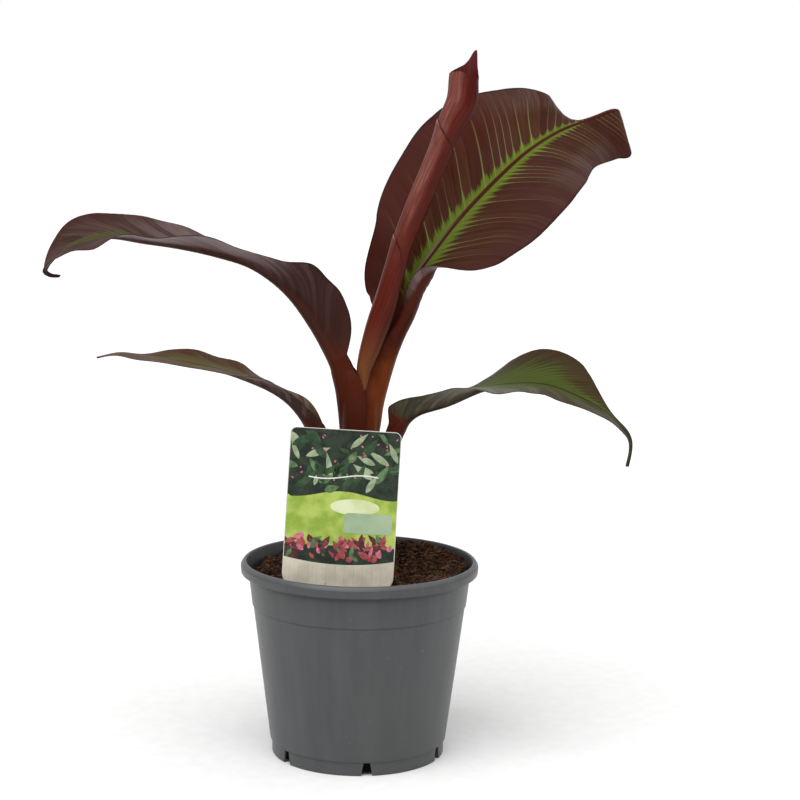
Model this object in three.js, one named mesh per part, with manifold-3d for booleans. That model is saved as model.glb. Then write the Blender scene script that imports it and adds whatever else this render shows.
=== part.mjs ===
// A young red-leaved banana plant in a round nursery pot, with a stick-in plant label.
// Millimetres, +Z up. The origin is the middle of the pot's flat underside.
// Leaf blades and limbs are closed lofts along a smooth spine; the pot is a turned shell.
import * as THREE from "three";
import { mergeVertices } from "three/addons/utils/BufferGeometryUtils.js";
import Module from "manifold-3d";

const wasm = await Module();
wasm.setup();

// Driving sizes of the pot
const potSides = 42;
const rimRadius = 85;
const rimTopRadius = 82.5;
const rimBottomZ = 131.5;
const potHeight = 140.4;
const wallTopRadius = 79.3;
const wallStepZ = 109;
const wallStepRadius = 76.7;
const wallStepDepth = 0.7;
const wallFootRadius = 63.3;
const wallFootZ = 10.4;
const wallThickness = 1.7;
const footRadius = 62;
const floorThickness = 1.8;
const notchCount = 6;
const notchTurn = -84;
const notchTopWidth = 4.6;
const notchBottomWidth = 8.4;
const notchHeight = 9.4;
const notchReach = 8;

// Driving sizes of the soil
const soilSides = 30;
const soilLevel = 131;
const soilFlatRadius = 30;
const soilRimRadius = 77.2;
const soilRise = 8;
const soilRiseAzimuth = 62;
const fitGap = 0.4;

// Driving sizes of the label
const labelWidth = 76.8;
const labelHeight = 110.3;
const labelCorner = 4.5;
const labelFootCorner = 10;
const labelThickness = 0.8;
const labelFoot = [-15.6, -58, 132.5];
const labelLean = 11;
const labelRoll = -2.8;
const stakeWidth = 13;
const stakeLength = 32;

// Driving sizes of the plant
const limbSides = 16;
const bladeThickness = 0.9;
const bladeShares = [0.14, 0.42, 0.72, 1];
const tipHalfWidth = 1.6;
const creaseLimit = 2;
const splitGap = 0.35;

// Limbs: a spine of hand-set points, the side that heading turns to, and radii at equal steps.
const limbs = {
  pseudostem: {
    spine: [[0, 0, 131.4], [0, 0, 150], [-1, 0, 190], [-1.5, 0.4, 225], [-1.2, 1, 238], [-1.2, 1, 246.8]],
    steps: 12, wide: [18, 14.6, 12.6, 11.9, 13.8], deep: [16.5, 13.6, 12.2, 12, 13],
  },
  petiole_left_upper: {
    spine: [[-7.2, -1, 247.2], [-7.2, -1, 252], [-10.2, -1, 264], [-14, -1, 275], [-17.6, -1, 283]],
    steps: 6, wide: [7, 7.3, 7.2, 6.4], deep: [7, 6.8, 6.2, 5.4],
  },
  petiole_upright: {
    spine: [[5, 8.6, 247.2], [5, 8.6, 252], [8.4, 10, 266], [14.4, 12, 285], [22, 12, 304], [28.4, 12, 318.4]],
    steps: 10, wide: [6.9, 7, 6.8, 6], deep: [6.6, 6.2, 5.6, 4.6],
  },
  rolled_leaf: {
    spine: [[3.2, -5.2, 247.2], [3.2, -5.2, 252], [1, -3, 274], [8, -3, 300], [18, -3, 332], [29, -3, 370],
      [38.5, -3, 395], [47, -2, 416.5], [53.4, -1, 432.5], [59.8, 0.5, 449], [67.2, 2, 465], [68.3, 3, 481],
      [79, 4.5, 502.5]],
    steps: 30, wide: [3.1, 3.8, 6.6, 7.8, 7.7, 7.7, 7.9, 7.9, 7.7, 8.2, 11, 10.4, 1],
    deep: [3.1, 3.6, 6.4, 7.4, 7.4, 7.4, 7.6, 7.8, 7.8, 8.2, 9.6, 9.2, 1],
  },
  petiole_left_lower: {
    spine: [[-24.6, -4, 131.4], [-24.6, -4, 150], [-24.2, -5, 180], [-25.5, -8, 206], [-29.6, -10, 224],
      [-32.8, -10.8, 234.2]],
    steps: 12, wide: [6, 5.2, 5, 5.6], deep: [8, 6.4, 5.4, 5],
  },
  petiole_right: {
    spine: [[16.8, -19.6, 131.4], [16.8, -19.6, 150], [16.4, -17, 172], [16.4, -13, 195], [18.6, -10, 214],
      [23.6, -9, 230.6], [28.8, -10.2, 240.1]],
    steps: 11, wide: [6, 5.2, 5.2, 6.2], deep: [8, 6.4, 5.8, 5.4],
  },
};

// Blades: halves have a width in mm, a fold up from flat in degrees, at equal steps along the spine.
const blades = {
  left_upper: {
    heading: 180, steps: 32, cuts: [0, 0.43, 1], cutNames: ["base", "tip"],
    spine: [[-18, -1, 284], [-33, -1, 310], [-52, -2, 334], [-76, -3, 351], [-102, -4, 359], [-128, -5, 364],
      [-152, -6, 367], [-176, -7, 370], [-197, -8, 366], [-212, -9, 357], [-220, -10, 347], [-217, -11, 343],
      [-210, -12, 342]],
    roll: [0, 0], rib: [6, 4.6, 3.4, 2.4, 1.6, 0.8],
    left: { width: [11, 29, 30, 31, 36, 37, 36, 33, 26, 15, 1], fold: [66, 68, 70, 30, 18, 20, 12, 10, -14, -8, 0] },
    right: { width: [11, 28, 28, 30, 36, 37, 36, 32.6, 31, 19, 1], fold: [66, 66, 45, 4, 6, 12, 20, 25, 31, 28, 0] },
  },
  left_lower: {
    heading: 180, steps: 20, cuts: [0, 1], cutNames: [""],
    spine: [[-33.5, -11, 235.5], [-41, -12, 248], [-51, -13, 258.5], [-64, -14, 266.5], [-82, -15, 273.5],
      [-100, -16, 279], [-120, -17, 283], [-137, -18, 286], [-154, -19, 288], [-169, -20, 290], [-184, -21, 287]],
    roll: [0, 0], rib: [4.6, 3.6, 2.4, 1.6, 1.2, 0.7],
    left: { width: [12, 8, 12, 19, 24, 25, 24, 20, 14, 8, 1], fold: [66, 54, 28, 20, 8, 2, 0, 0, 0, -4, 0] },
    right: { width: [10, 11, 10, 16, 23, 24, 23, 20, 14, 8, 1], fold: [66, 54, 12, 4, 12, 12, 20, 12, 0, 0, 0] },
  },
  right: {
    heading: -12, steps: 26, cuts: [0, 0.52, 1], cutNames: ["base", "tip"],
    spine: [[30, -10.6, 241.5], [40, -14, 250.5], [60, -20, 258], [85, -27, 269.5], [108, -34, 274], [127, -40, 274],
      [143, -47, 269.5], [161, -56, 261.5], [174, -60, 251.5], [181, -64, 239], [182, -66, 222]],
    roll: [0, 0], rib: [4, 3.2, 2.4, 1.9, 1.4, 0.7],
    left: { width: [14, 12, 20, 28, 35, 38, 33.5, 17, 5, 3, 1], fold: [66, 46, 12, 6, 20, 33, 34, 30, 20, 30, 20] },
    right: { width: [14, 15, 21, 31, 36, 36, 31, 31, 19, 6, 1], fold: [66, 52, 34, 14, -1, -2, -5, -4, 2, 0, 0] },
  },
  upright: {
    heading: 90, steps: 36, cuts: [0, 0.8, 1], cutNames: ["base", "tip"],
    spine: [[29, 12, 320], [35, 13, 339], [49, 17, 359], [64, 26, 378], [82, 40, 397], [101, 55, 415],
      [121, 75, 431], [147, 105, 445], [177, 135, 455], [194, 151, 460], [202, 167, 457], [206, 184, 451]],
    roll: [0, 0, 0, -5, -12, -20, -30, -45, -62, -73, -78], rib: [6.4, 4, 2.8, 2, 1.4, 0.7],
    left: { width: [24.5, 40.5, 55, 64, 68, 64, 51, 32, 30, 20, 1], fold: [-8, -4, 0, 0, 0, 0, 0, -4, -120, -110, -40] },
    right: { width: [7, 15, 40, 51, 52, 50, 44.5, 37, 35, 34, 1], fold: [0, 0, 0, 0, 0, 0, 0, 0, 0, 0, 0] },
  },
};

const plant = new THREE.Group();

function material(color, roughness) {
  return new THREE.MeshStandardMaterial({ color, roughness, metalness: 0 });
}

function addMesh(name, geometry, color, roughness) {
  const mesh = new THREE.Mesh(geometry, material(color, roughness));
  mesh.name = name;
  plant.add(mesh);
  return mesh;
}

const toRadians = THREE.MathUtils.degToRad;

// One smooth value between keys that stand at equal steps of t.
function keyed(keys, t) {
  const spans = keys.length - 1;
  const x = Math.min(Math.max(t, 0) * spans, spans - 1e-9);
  const i = Math.floor(x);
  const f = x - i;
  const before = i > 0 ? keys[i - 1] : 2 * keys[0] - keys[1];
  const after = i < spans - 1 ? keys[i + 2] : 2 * keys[spans] - keys[spans - 1];
  const [a, b] = [keys[i], keys[i + 1]];
  return 0.5 * (2 * a + (b - before) * f + (2 * before - 5 * a + 4 * b - after) * f * f
    + (3 * a - before - 3 * b + after) * f * f * f);
}

// Places along a spine with their direction, side and face vectors.
function spineFrames(points, headingDegrees, ts) {
  const curve = new THREE.CatmullRomCurve3(points.map((p) => new THREE.Vector3(...p)), false, "catmullrom", 0.5);
  curve.arcLengthDivisions = 400;
  const heading = toRadians(headingDegrees);
  const side = new THREE.Vector3(Math.sin(heading), -Math.cos(heading), 0);
  return ts.map((t) => {
    const at = curve.getPointAt(t);
    const along = curve.getTangentAt(t);
    const across = side.clone().addScaledVector(along, -side.dot(along)).normalize();
    const up = across.clone().cross(along);
    return { t, at, along, across, up };
  });
}

// A closed body through rings of the same even number of points, with both ends capped.
// The two halves of a ring split their squares along mirrored diagonals, so a thin plate stays even.
function loft(rings) {
  const size = rings[0].length;
  const positions = rings.flat().flatMap((p) => [p.x, p.y, p.z]);
  const faces = [];
  for (let i = 0; i < rings.length - 1; i += 1) {
    for (let j = 0; j < size; j += 1) {
      const a = i * size + j;
      const b = i * size + ((j + 1) % size);
      if (j < size / 2) faces.push(a, b, b + size, a, b + size, a + size);
      else faces.push(a, b, a + size, b, b + size, a + size);
    }
  }
  const last = (rings.length - 1) * size;
  for (let j = 0; j < size / 2 - 1; j += 1) {
    const mirror = size - 1 - j;
    faces.push(j, mirror, j + 1, mirror, mirror - 1, j + 1);
    faces.push(last + j, last + j + 1, last + mirror, last + mirror, last + j + 1, last + mirror - 1);
  }
  const geometry = new THREE.BufferGeometry();
  geometry.setAttribute("position", new THREE.Float32BufferAttribute(positions, 3));
  geometry.setIndex(faces.filter((_, k) => isFullFace(positions, faces, k - (k % 3))));
  return orientOutward(mergeVertices(geometry, 1e-4));
}

function isFullFace(positions, faces, k) {
  const [a, b, c] = [0, 1, 2].map((n) => new THREE.Vector3().fromArray(positions, 3 * faces[k + n]));
  return b.sub(a).cross(c.sub(a)).length() > 1e-9;
}

// Turns every face over when the body would be inside out.
function orientOutward(geometry) {
  const p = geometry.getAttribute("position");
  const index = geometry.getIndex().array;
  const corner = (n) => new THREE.Vector3().fromBufferAttribute(p, index[n]);
  let volume = 0;
  for (let k = 0; k < index.length; k += 3) volume += corner(k).dot(corner(k + 1).cross(corner(k + 2)));
  if (volume < 0) {
    for (let k = 0; k < index.length; k += 3) [index[k], index[k + 1]] = [index[k + 1], index[k]];
  }
  geometry.computeVertexNormals();
  return geometry;
}

function toManifold(geometry) {
  const plain = geometry.clone();
  plain.deleteAttribute("normal");
  plain.deleteAttribute("uv");
  const merged = mergeVertices(plain, 1e-3);
  return new wasm.Manifold(new wasm.Mesh({
    numProp: 3,
    vertProperties: new Float32Array(merged.getAttribute("position").array),
    triVerts: new Uint32Array(merged.getIndex().array),
  }));
}

function fromManifold(solid) {
  const { vertProperties, triVerts } = solid.getMesh();
  const geometry = new THREE.BufferGeometry();
  geometry.setAttribute("position", new THREE.Float32BufferAttribute(vertProperties, 3));
  geometry.setIndex(Array.from(triVerts));
  geometry.computeVertexNormals();
  return geometry;
}

// Pot: a turned shell with a rounded rim, a fine step in the wall, and drain notches in the foot
function potProfile() {
  const stepBelow = wallStepRadius - wallStepDepth;
  return [
    [0, 0], [footRadius - 0.8, 0], [footRadius - 0.2, 0.6], [footRadius, wallFootZ - 0.4], [wallFootRadius, wallFootZ],
    [stepBelow, wallStepZ - 0.5], [wallStepRadius, wallStepZ], [wallTopRadius, rimBottomZ - 2],
    [wallTopRadius + 0.5, rimBottomZ], [rimRadius - 1.4, rimBottomZ + 0.2], [rimRadius - 0.2, rimBottomZ + 1.6],
    [rimRadius, rimBottomZ + 4], [rimRadius - 0.3, potHeight - 2.2], [rimTopRadius + 1, potHeight - 0.5],
    [rimTopRadius, potHeight], [rimTopRadius - 1.3, potHeight - 0.4], [rimTopRadius - 1.9, potHeight - 2],
    [wallTopRadius - wallThickness, rimBottomZ - 3], [wallFootRadius - wallThickness, wallFootZ + 1],
    [footRadius - wallThickness, wallFootZ - 1], [footRadius - wallThickness, floorThickness], [0, floorThickness],
  ];
}

function potShell() {
  const turned = new THREE.LatheGeometry(potProfile().map((p) => new THREE.Vector2(...p)), potSides);
  turned.rotateX(Math.PI / 2);
  return toManifold(orientOutward(mergeClean(turned)));
}

function mergeClean(geometry) {
  geometry.deleteAttribute("normal");
  geometry.deleteAttribute("uv");
  const merged = mergeVertices(geometry, 1e-3);
  const index = Array.from(merged.getIndex().array);
  const isFlat = (k) => new Set(index.slice(k, k + 3)).size < 3;
  merged.setIndex(index.filter((_, k) => !isFlat(k - (k % 3))));
  return merged;
}

function notchCutter(turn) {
  const shape = new THREE.Shape();
  shape.moveTo(-notchBottomWidth / 2, -1);
  shape.lineTo(notchBottomWidth / 2, -1);
  shape.lineTo(notchTopWidth / 2, notchHeight);
  shape.lineTo(-notchTopWidth / 2, notchHeight);
  const cutter = new THREE.ExtrudeGeometry(shape, { depth: notchReach, bevelEnabled: false });
  cutter.rotateX(Math.PI / 2);
  cutter.rotateZ(Math.PI / 2);
  cutter.translate(wallFootRadius + 1 - notchReach, 0, 0);
  cutter.rotateZ(toRadians(turn));
  return toManifold(orientOutward(mergeClean(cutter)));
}

function buildPot() {
  let pot = potShell();
  for (let n = 0; n < notchCount; n += 1) {
    pot = pot.subtract(notchCutter(notchTurn + (360 / notchCount) * n));
  }
  return fromManifold(pot);
}

// Label: a rounded card on a pointed stake, leaning back a little
function labelShape(grow) {
  const halfWidth = labelWidth / 2;
  const halfStake = stakeWidth / 2 + grow;
  const card = new THREE.Shape();
  card.moveTo(-halfStake, 0);
  card.lineTo(-halfStake, -stakeLength + stakeWidth);
  card.lineTo(0, -stakeLength - grow);
  card.lineTo(halfStake, -stakeLength + stakeWidth);
  card.lineTo(halfStake, 0);
  card.lineTo(halfWidth - labelFootCorner, 0);
  card.absarc(halfWidth - labelFootCorner, labelFootCorner, labelFootCorner, -Math.PI / 2, 0);
  card.absarc(halfWidth - labelCorner, labelHeight - labelCorner, labelCorner, 0, Math.PI / 2);
  card.absarc(labelCorner - halfWidth, labelHeight - labelCorner, labelCorner, Math.PI / 2, Math.PI);
  card.absarc(labelFootCorner - halfWidth, labelFootCorner, labelFootCorner, Math.PI, 1.5 * Math.PI);
  return card;
}

function labelSolid(grow) {
  const depth = labelThickness + 2 * grow;
  const card = new THREE.ExtrudeGeometry(labelShape(grow), { depth, bevelEnabled: false, curveSegments: 4 });
  card.translate(0, 0, -depth / 2);
  card.rotateZ(toRadians(labelRoll));
  card.rotateX(Math.PI / 2 - toRadians(labelLean));
  card.translate(...labelFoot);
  return card;
}

// Soil: fills the pot, flat in the middle and rising to the rim at the back right
function soilTopZ(radius, azimuth) {
  const outward = THREE.MathUtils.smoothstep(radius, soilFlatRadius, soilRimRadius);
  const toward = 0.5 + 0.5 * Math.cos(azimuth - toRadians(soilRiseAzimuth));
  return soilLevel + soilRise * outward * toward * toward;
}

function soilRing(radius, heightAt) {
  return Array.from({ length: soilSides }, (_, n) => {
    const azimuth = (2 * Math.PI * n) / soilSides;
    return new THREE.Vector3(radius * Math.cos(azimuth), radius * Math.sin(azimuth), heightAt(azimuth));
  });
}

function buildSoil() {
  const innerRadius = 3;
  const foot = footRadius - wallThickness - 2 * fitGap;
  const wallFoot = wallFootRadius - wallThickness - 2 * fitGap;
  const wallTop = wallTopRadius - wallThickness - 2 * fitGap;
  const rings = [
    soilRing(innerRadius, () => floorThickness + fitGap),
    soilRing(foot, () => floorThickness + fitGap),
    soilRing(foot, () => wallFootZ - 1),
    soilRing(wallFoot, () => wallFootZ + 1.4),
    soilRing(wallTop, () => rimBottomZ - 4),
  ];
  for (const radius of [wallTop, 70, 60, 45, soilFlatRadius, innerRadius]) {
    rings.push(soilRing(radius, (azimuth) => soilTopZ(radius, azimuth)));
  }
  const slot = toManifold(orientOutward(mergeClean(labelSolid(fitGap))));
  return fromManifold(toManifold(loft(rings)).subtract(slot));
}

// Limbs: rings of an ellipse along the spine
function buildLimb(limb) {
  const ts = Array.from({ length: limb.steps + 1 }, (_, n) => n / limb.steps);
  const rings = spineFrames(limb.spine, 90, ts).map(({ t, at, across, up }) => (
    Array.from({ length: limbSides }, (_, n) => {
      const angle = (2 * Math.PI * (n + 0.5)) / limbSides;
      const wide = keyed(limb.wide, t) * Math.cos(angle);
      const deep = keyed(limb.deep, t) * Math.sin(angle);
      return at.clone().addScaledVector(across, wide).addScaledVector(up, deep);
    })
  ));
  return loft(rings);
}

// Blades: a thin plate that is folded along its rib, with the rib standing out below.
// In the plane across the spine, an angle of 0 points to the right half and 90 to the upper face.
function bladeRing(blade, frame) {
  const roll = toRadians(keyed(blade.roll, frame.t));
  const across = frame.across.clone().multiplyScalar(Math.cos(roll)).addScaledVector(frame.up, Math.sin(roll));
  const up = frame.up.clone().multiplyScalar(Math.cos(roll)).addScaledVector(frame.across, -Math.sin(roll));
  const place = (reach, angle, lift) => frame.at.clone()
    .addScaledVector(across, reach * Math.cos(angle) - lift * Math.sin(angle))
    .addScaledVector(up, reach * Math.sin(angle) + lift * Math.cos(angle));
  const half = bladeThickness / 2;
  const rightAngle = toRadians(keyed(blade.right.fold, frame.t));
  const leftAngle = Math.PI - toRadians(keyed(blade.left.fold, frame.t));
  const rightReaches = bladeShares.map((u) => u * Math.max(keyed(blade.right.width, frame.t), tipHalfWidth));
  const leftReaches = bladeShares.map((u) => u * Math.max(keyed(blade.left.width, frame.t), tipHalfWidth));
  const middle = (leftAngle + rightAngle) / 2;
  const opening = (leftAngle - rightAngle) / 2;
  const crease = Math.min(half / Math.sin(opening), creaseLimit);
  const topCrease = opening < Math.PI / 2 ? crease : half;
  const rib = Math.max(keyed(blade.rib, frame.t), crease);
  return [
    ...leftReaches.map((r) => place(r, leftAngle, -half)).reverse(), place(topCrease, middle, 0),
    ...rightReaches.map((r) => place(r, rightAngle, half)),
    ...rightReaches.map((r) => place(r, rightAngle, -half)).reverse(), place(-rib, middle, 0),
    ...leftReaches.map((r) => place(r, leftAngle, half)),
  ];
}

function buildBlade(blade, from, to) {
  const count = Math.max(4, Math.round(blade.steps * (to - from)));
  const ts = Array.from({ length: count + 1 }, (_, n) => from + ((to - from) * n) / count);
  return loft(spineFrames(blade.spine, blade.heading, ts).map((frame) => bladeRing(blade, frame)));
}

function spineLength(points) {
  return new THREE.CatmullRomCurve3(points.map((p) => new THREE.Vector3(...p)), false, "catmullrom", 0.5).getLength();
}

addMesh("pot", buildPot(), 0x5b5f63, 0.55);
addMesh("soil", buildSoil(), 0x2c1a12, 0.95);
addMesh("plant_label", labelSolid(0), 0x6f8a4a, 0.4);

for (const [name, limb] of Object.entries(limbs)) {
  addMesh(name, buildLimb(limb), 0x5a2418, 0.4);
}

for (const [name, blade] of Object.entries(blades)) {
  const gap = splitGap / spineLength(blade.spine);
  blade.cutNames.forEach((cutName, n) => {
    const from = blade.cuts[n] + (n > 0 ? gap : 0);
    const fullName = cutName ? `blade_${name}_${cutName}` : `blade_${name}`;
    addMesh(fullName, buildBlade(blade, from, blade.cuts[n + 1]), 0x4a2a24, 0.4);
  });
}

export default plant;
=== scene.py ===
"""A young red-leaved banana plant in a grey nursery pot, with a plain stick-in label.

Sizes are in millimetres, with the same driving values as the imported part, and become metres in mesh_object.
"""
import math
import random

import bmesh
import bpy
import numpy as np
from mathutils import Matrix, Vector


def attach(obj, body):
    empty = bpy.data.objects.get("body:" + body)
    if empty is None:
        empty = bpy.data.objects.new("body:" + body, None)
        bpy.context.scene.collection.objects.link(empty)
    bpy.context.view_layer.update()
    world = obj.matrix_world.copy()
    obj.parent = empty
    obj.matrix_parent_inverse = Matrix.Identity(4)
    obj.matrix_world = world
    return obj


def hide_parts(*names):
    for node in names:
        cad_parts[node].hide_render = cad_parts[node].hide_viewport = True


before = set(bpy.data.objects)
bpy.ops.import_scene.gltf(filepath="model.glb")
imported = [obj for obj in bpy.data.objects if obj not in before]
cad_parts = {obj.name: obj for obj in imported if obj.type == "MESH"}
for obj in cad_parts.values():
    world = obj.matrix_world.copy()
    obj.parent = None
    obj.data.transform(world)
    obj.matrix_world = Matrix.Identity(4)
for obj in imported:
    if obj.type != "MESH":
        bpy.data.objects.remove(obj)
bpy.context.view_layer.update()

METRES = 0.001

# Camera, in metres and radians, fitted to the rim, the wall and the foot of the pot
CAMERA_PLACE = (0.0, -1.432, 0.474)
CAMERA_PITCH = 0.151
CAMERA_YAW = 0.019
CAMERA_ROLL = 0.014
CAMERA_FAR = 50
FOCAL_PIXELS = 2046.7
IMAGE_PIXELS = 800
SENSOR_WIDTH = 36.0

# Studio: each sun's direction, strength and spread in degrees, and the room's light before and behind
KEY_SUN = ((-0.5, -0.8, 1.3), 2.7, 62)
FILL_SUN = ((0.8, -0.3, 0.9), 1.1, 70)
ROOM_FRONT = 0.14
ROOM_BACK = 0.7
FLOOR_HALF = 6000.0
WHITE = (1, 1, 1)

# Pot
POT_SEGMENTS = 180
POT_HEIGHT = 140.4
FOOT_RADIUS = 62.0
FLOOR_THICKNESS = 1.8
NOTCH_COUNT = 6
NOTCH_TURN = -84.0
NOTCH_TOP_WIDTH = 4.6
NOTCH_BOTTOM_WIDTH = 8.4
NOTCH_HEIGHT = 9.4
NOTCH_REACH = 8.0
NOTCH_OUTER = 64.3
# Corners of the turned wall: radius, height, fillet
POT_CORNERS = [
    (0, 0, 0), (FOOT_RADIUS - 0.1, 0, 0.8), (FOOT_RADIUS, 10, 0.25), (63.3, 10.4, 0.4), (75.9, 108.4, 0.3),
    (76.7, 109.1, 0.5), (79.2, 130.6, 1.4), (79.9, 131.7, 0.5), (84.7, 131.7, 1.5), (85, 137.4, 2.2),
    (82.9, POT_HEIGHT, 1.6), (81.0, 140.3, 0.9), (80.3, 137.6, 0.8), (77.6, 128.5, 3), (61.6, 11.4, 1),
    (60.3, 9.4, 0.5), (60.3, FLOOR_THICKNESS, 0.6), (0, FLOOR_THICKNESS, 0),
]
# Heights on the wall where painted shade starts, is full, fades and ends, under the lip and at the step, and
# where the painted highlight along the top of the rim starts and is full
LIP_SHADE_BAND = (126.5, 131.2, 131.8, 133.0)
STEP_SHADE_BAND = (107.8, 108.6, 109.0, 110.0)
RIM_HIGHLIGHT_BAND = (137.8, 139.6)

# Soil
SOIL_LEVEL = 131.0
SOIL_FLAT_RADIUS = 30.0
SOIL_RIM_RADIUS = 77.2
SOIL_RISE = 8.8
SOIL_RISE_AZIMUTH = math.radians(50)
SOIL_WALL_GAP = 0.5
SOIL_WALL_DIP = 1.0
SOIL_DIP_WIDTH = 9
SOIL_SEGMENTS = 240
SOIL_RINGS = 84
# Radius and height of the bed's buried outline
SOIL_FOOT = [(FOOT_RADIUS - 3, FLOOR_THICKNESS + 0.3), (FOOT_RADIUS - 2.6, 10.5), (75.6, 124)]
# Wave length and depth of its clods and hollows
SOIL_WAVES = ((26, 0.7), (13, 0.7), (7, 0.6), (4, 0.45), (2.4, 0.3))
SOIL_SEED, CRUMB_SEED, FIBRE_SEED = 21, 7, 11
CRUMB_COUNT = 3600
# Smallest size, spread, and how much rarer the big ones are
CRUMB_SIZE = (0.5, 1.6, 2.2)
CHIP_COUNT = 160
CHIP_SIZE = (1.6, 3.4)
FIBRE_COUNT = 900
FIBRE_LENGTH = (4, 17)
FIBRE_RADIUS = (0.12, 0.3)
FIBRE_STEPS = 6
STANDING_SHARE = 0.07
STANDING_LENGTH = (5, 11)
# A way that no fibre runs, from which its tube is turned
TUBE_SIDEWAYS = (0.31, 0.17, 0.93)
TINY = 1e-9
STEM_FOOT_RADIUS = 17

# Label
LABEL_WIDTH = 76.8
LABEL_HEIGHT = 110.3
LABEL_CORNER = 4.5
LABEL_FOOT_CORNER = 10.0
LABEL_THICKNESS = 0.8
LABEL_FOOT = (-15.6, -58.0, 132.5)
LABEL_LEAN = math.radians(11)
LABEL_ROLL = math.radians(-2.8)
STAKE_WIDTH = 13.0
STAKE_LENGTH = 32.0
PRINT_LAYER = 0.03
PRINT_BORDER = 0.5
STRIP_TOP = 22.0
RED_TOP = 40.0
LAWN_TOP = 65.0
PRINT_SEED = 4
BACKDROP_LEAVES = 46
BLOSSOMS = 26
RED_LEAVES = 80
STRIP_LINES = 11
STRIP_LINE_STEP = 6.3
STRIP_LINE_WIDTH = 0.22

# Stem: spine points, and radii at equal steps along it
STEM_SPINE = [(0, 0, 131.4), (0, 0, 150), (-1, 0, 190), (-1.5, 0.4, 225), (-1.2, 1, 238), (-1.2, 1, 250)]
STEM_WIDE = [18, 14.6, 12.4, 11.6, 12.4]
STEM_DEEP = [16.5, 13.6, 12.2, 12, 12.2]
STEM_CORE_INSET = 1.9
STEM_ROWS = 90
STEM_SIDES = 48
# Millimetres of the stem's pattern for each radian round it
STEM_PATTERN_RADIUS = 8
STEM_SPLIT_Z = 247.0

# Fronds. A frond is a stalk and a blade on one spine, which runs in the groove of the rib.
# The stalk's keys stand at equal steps up to the blade, and the blade's at equal steps from there to the tip.
# fold turns a half up from flat, in degrees, and curl bends it on towards its margin. radius rounds the
# groove. join is how far below the blade its own values begin to count, and stalky how far the stalk's red
# runs up it. sweep and pitch shape the side veins. A pair gives the left half and the right half, except the
# pair for the stalk's painted orange glow, standing for light shining through it, given at its rib and at its
# margin.
# zone and groove are half widths in colour, of the green zone and of the red groove.
# The sheen keys give how much pale painted sheen, for light glancing off the faces, lies on each half of a
# face, from a given share of its width on.
LEFT_UPPER_FROND = dict(
    heading=180, nodes=["blade_left_upper_base", "blade_left_upper_tip"],
    stalk=dict(
        spine=[(-16.6, 0, 131.6), (-12.6, 0, 150), (-11.9, 0, 190), (-12.2, 0, 222), (-12.2, -0.5, 238),
               (-12, -1, 252), (-12.6, -1, 264), (-14.8, -1, 275)],
        radius=[15, 12, 11.6, 11.4, 11.4, 9.4, 3.6], reach=[26, 24, 22.5, 22, 22, 20, 10],
        fold=[200, 200, 200, 200, 200, 172, 78],
        rib=[0.6, 0.6, 0.8, 1, 1.4, 3.6, 5.6], wall=[1.6, 1.6, 1.6, 1.6, 1.8, 2.4, 2]),
    spine=[(-18, -1, 284), (-33, -1, 310), (-52, -2, 334), (-76, -3, 351), (-102, -4, 359),
           (-128, -5, 364), (-152, -6, 367), (-176, -7, 370), (-197, -8, 366), (-212, -9, 357),
           (-220, -10, 347), (-217, -11, 343), (-210, -12, 342)],
    rib=[5.6, 4.4, 3.2, 2.2, 1.5, 0.6], radius=[3.4, 2.6, 2, 1.6, 1.4, 1.2],
    left=dict(
        width=[11, 22, 29, 31.5, 30, 34.5, 31, 33, 36, 37, 37, 36.7, 36, 35, 33, 30, 26, 21, 15, 8, 1],
        fold=[66, 68, 70, 30, 18, 20, 12, 10, -14, -8, 0],
        curl=[0, -16, -24, -20, -20, -14, -10, -6, 0, 0, 0]),
    right=dict(
        width=[11, 21, 28, 28.5, 28, 28.5, 30, 33.5, 36, 37, 37, 36.8, 36, 34.5, 32.6, 31, 31, 29, 19, 9, 1],
        fold=[66, 66, 45, 4, 6, 12, 20, 25, 31, 28, 0],
        curl=[0, -10, -20, -24, -22, -16, -10, 0, 8, 6, 0]),
    sweep=(1.5, 1.5), pitch=(5.2, 5.2), warm=(0.0, 0.3), waves=1.2, seed=3,
    zone=[0, 0, 0, 0, 0, 1, 3, 9, 6.5, 1, 0], groove=[1.3, 1.1, 0.9, 0.7, 0.6, 0.5],
    join=16, stalky=30, sheen_from=0.05,
    painted_sheen=dict(
        upper=([0, 0, 0, 0.2, 0.5, 0.5, 0.4, 0.2, 0, 0, 0], [0, 0.5, 0.9, 1, 1, 0.9, 0.6, 0.2, 0, 0, 0]),
        under=([0, 0, 0.2, 0.8, 1.3, 1.3, 0.95, 0.4, 0, 0, 0],
               [0, 0.1, 0.2, 0.4, 0.5, 0.5, 0.4, 0.2, 0, 0, 0])))
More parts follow.
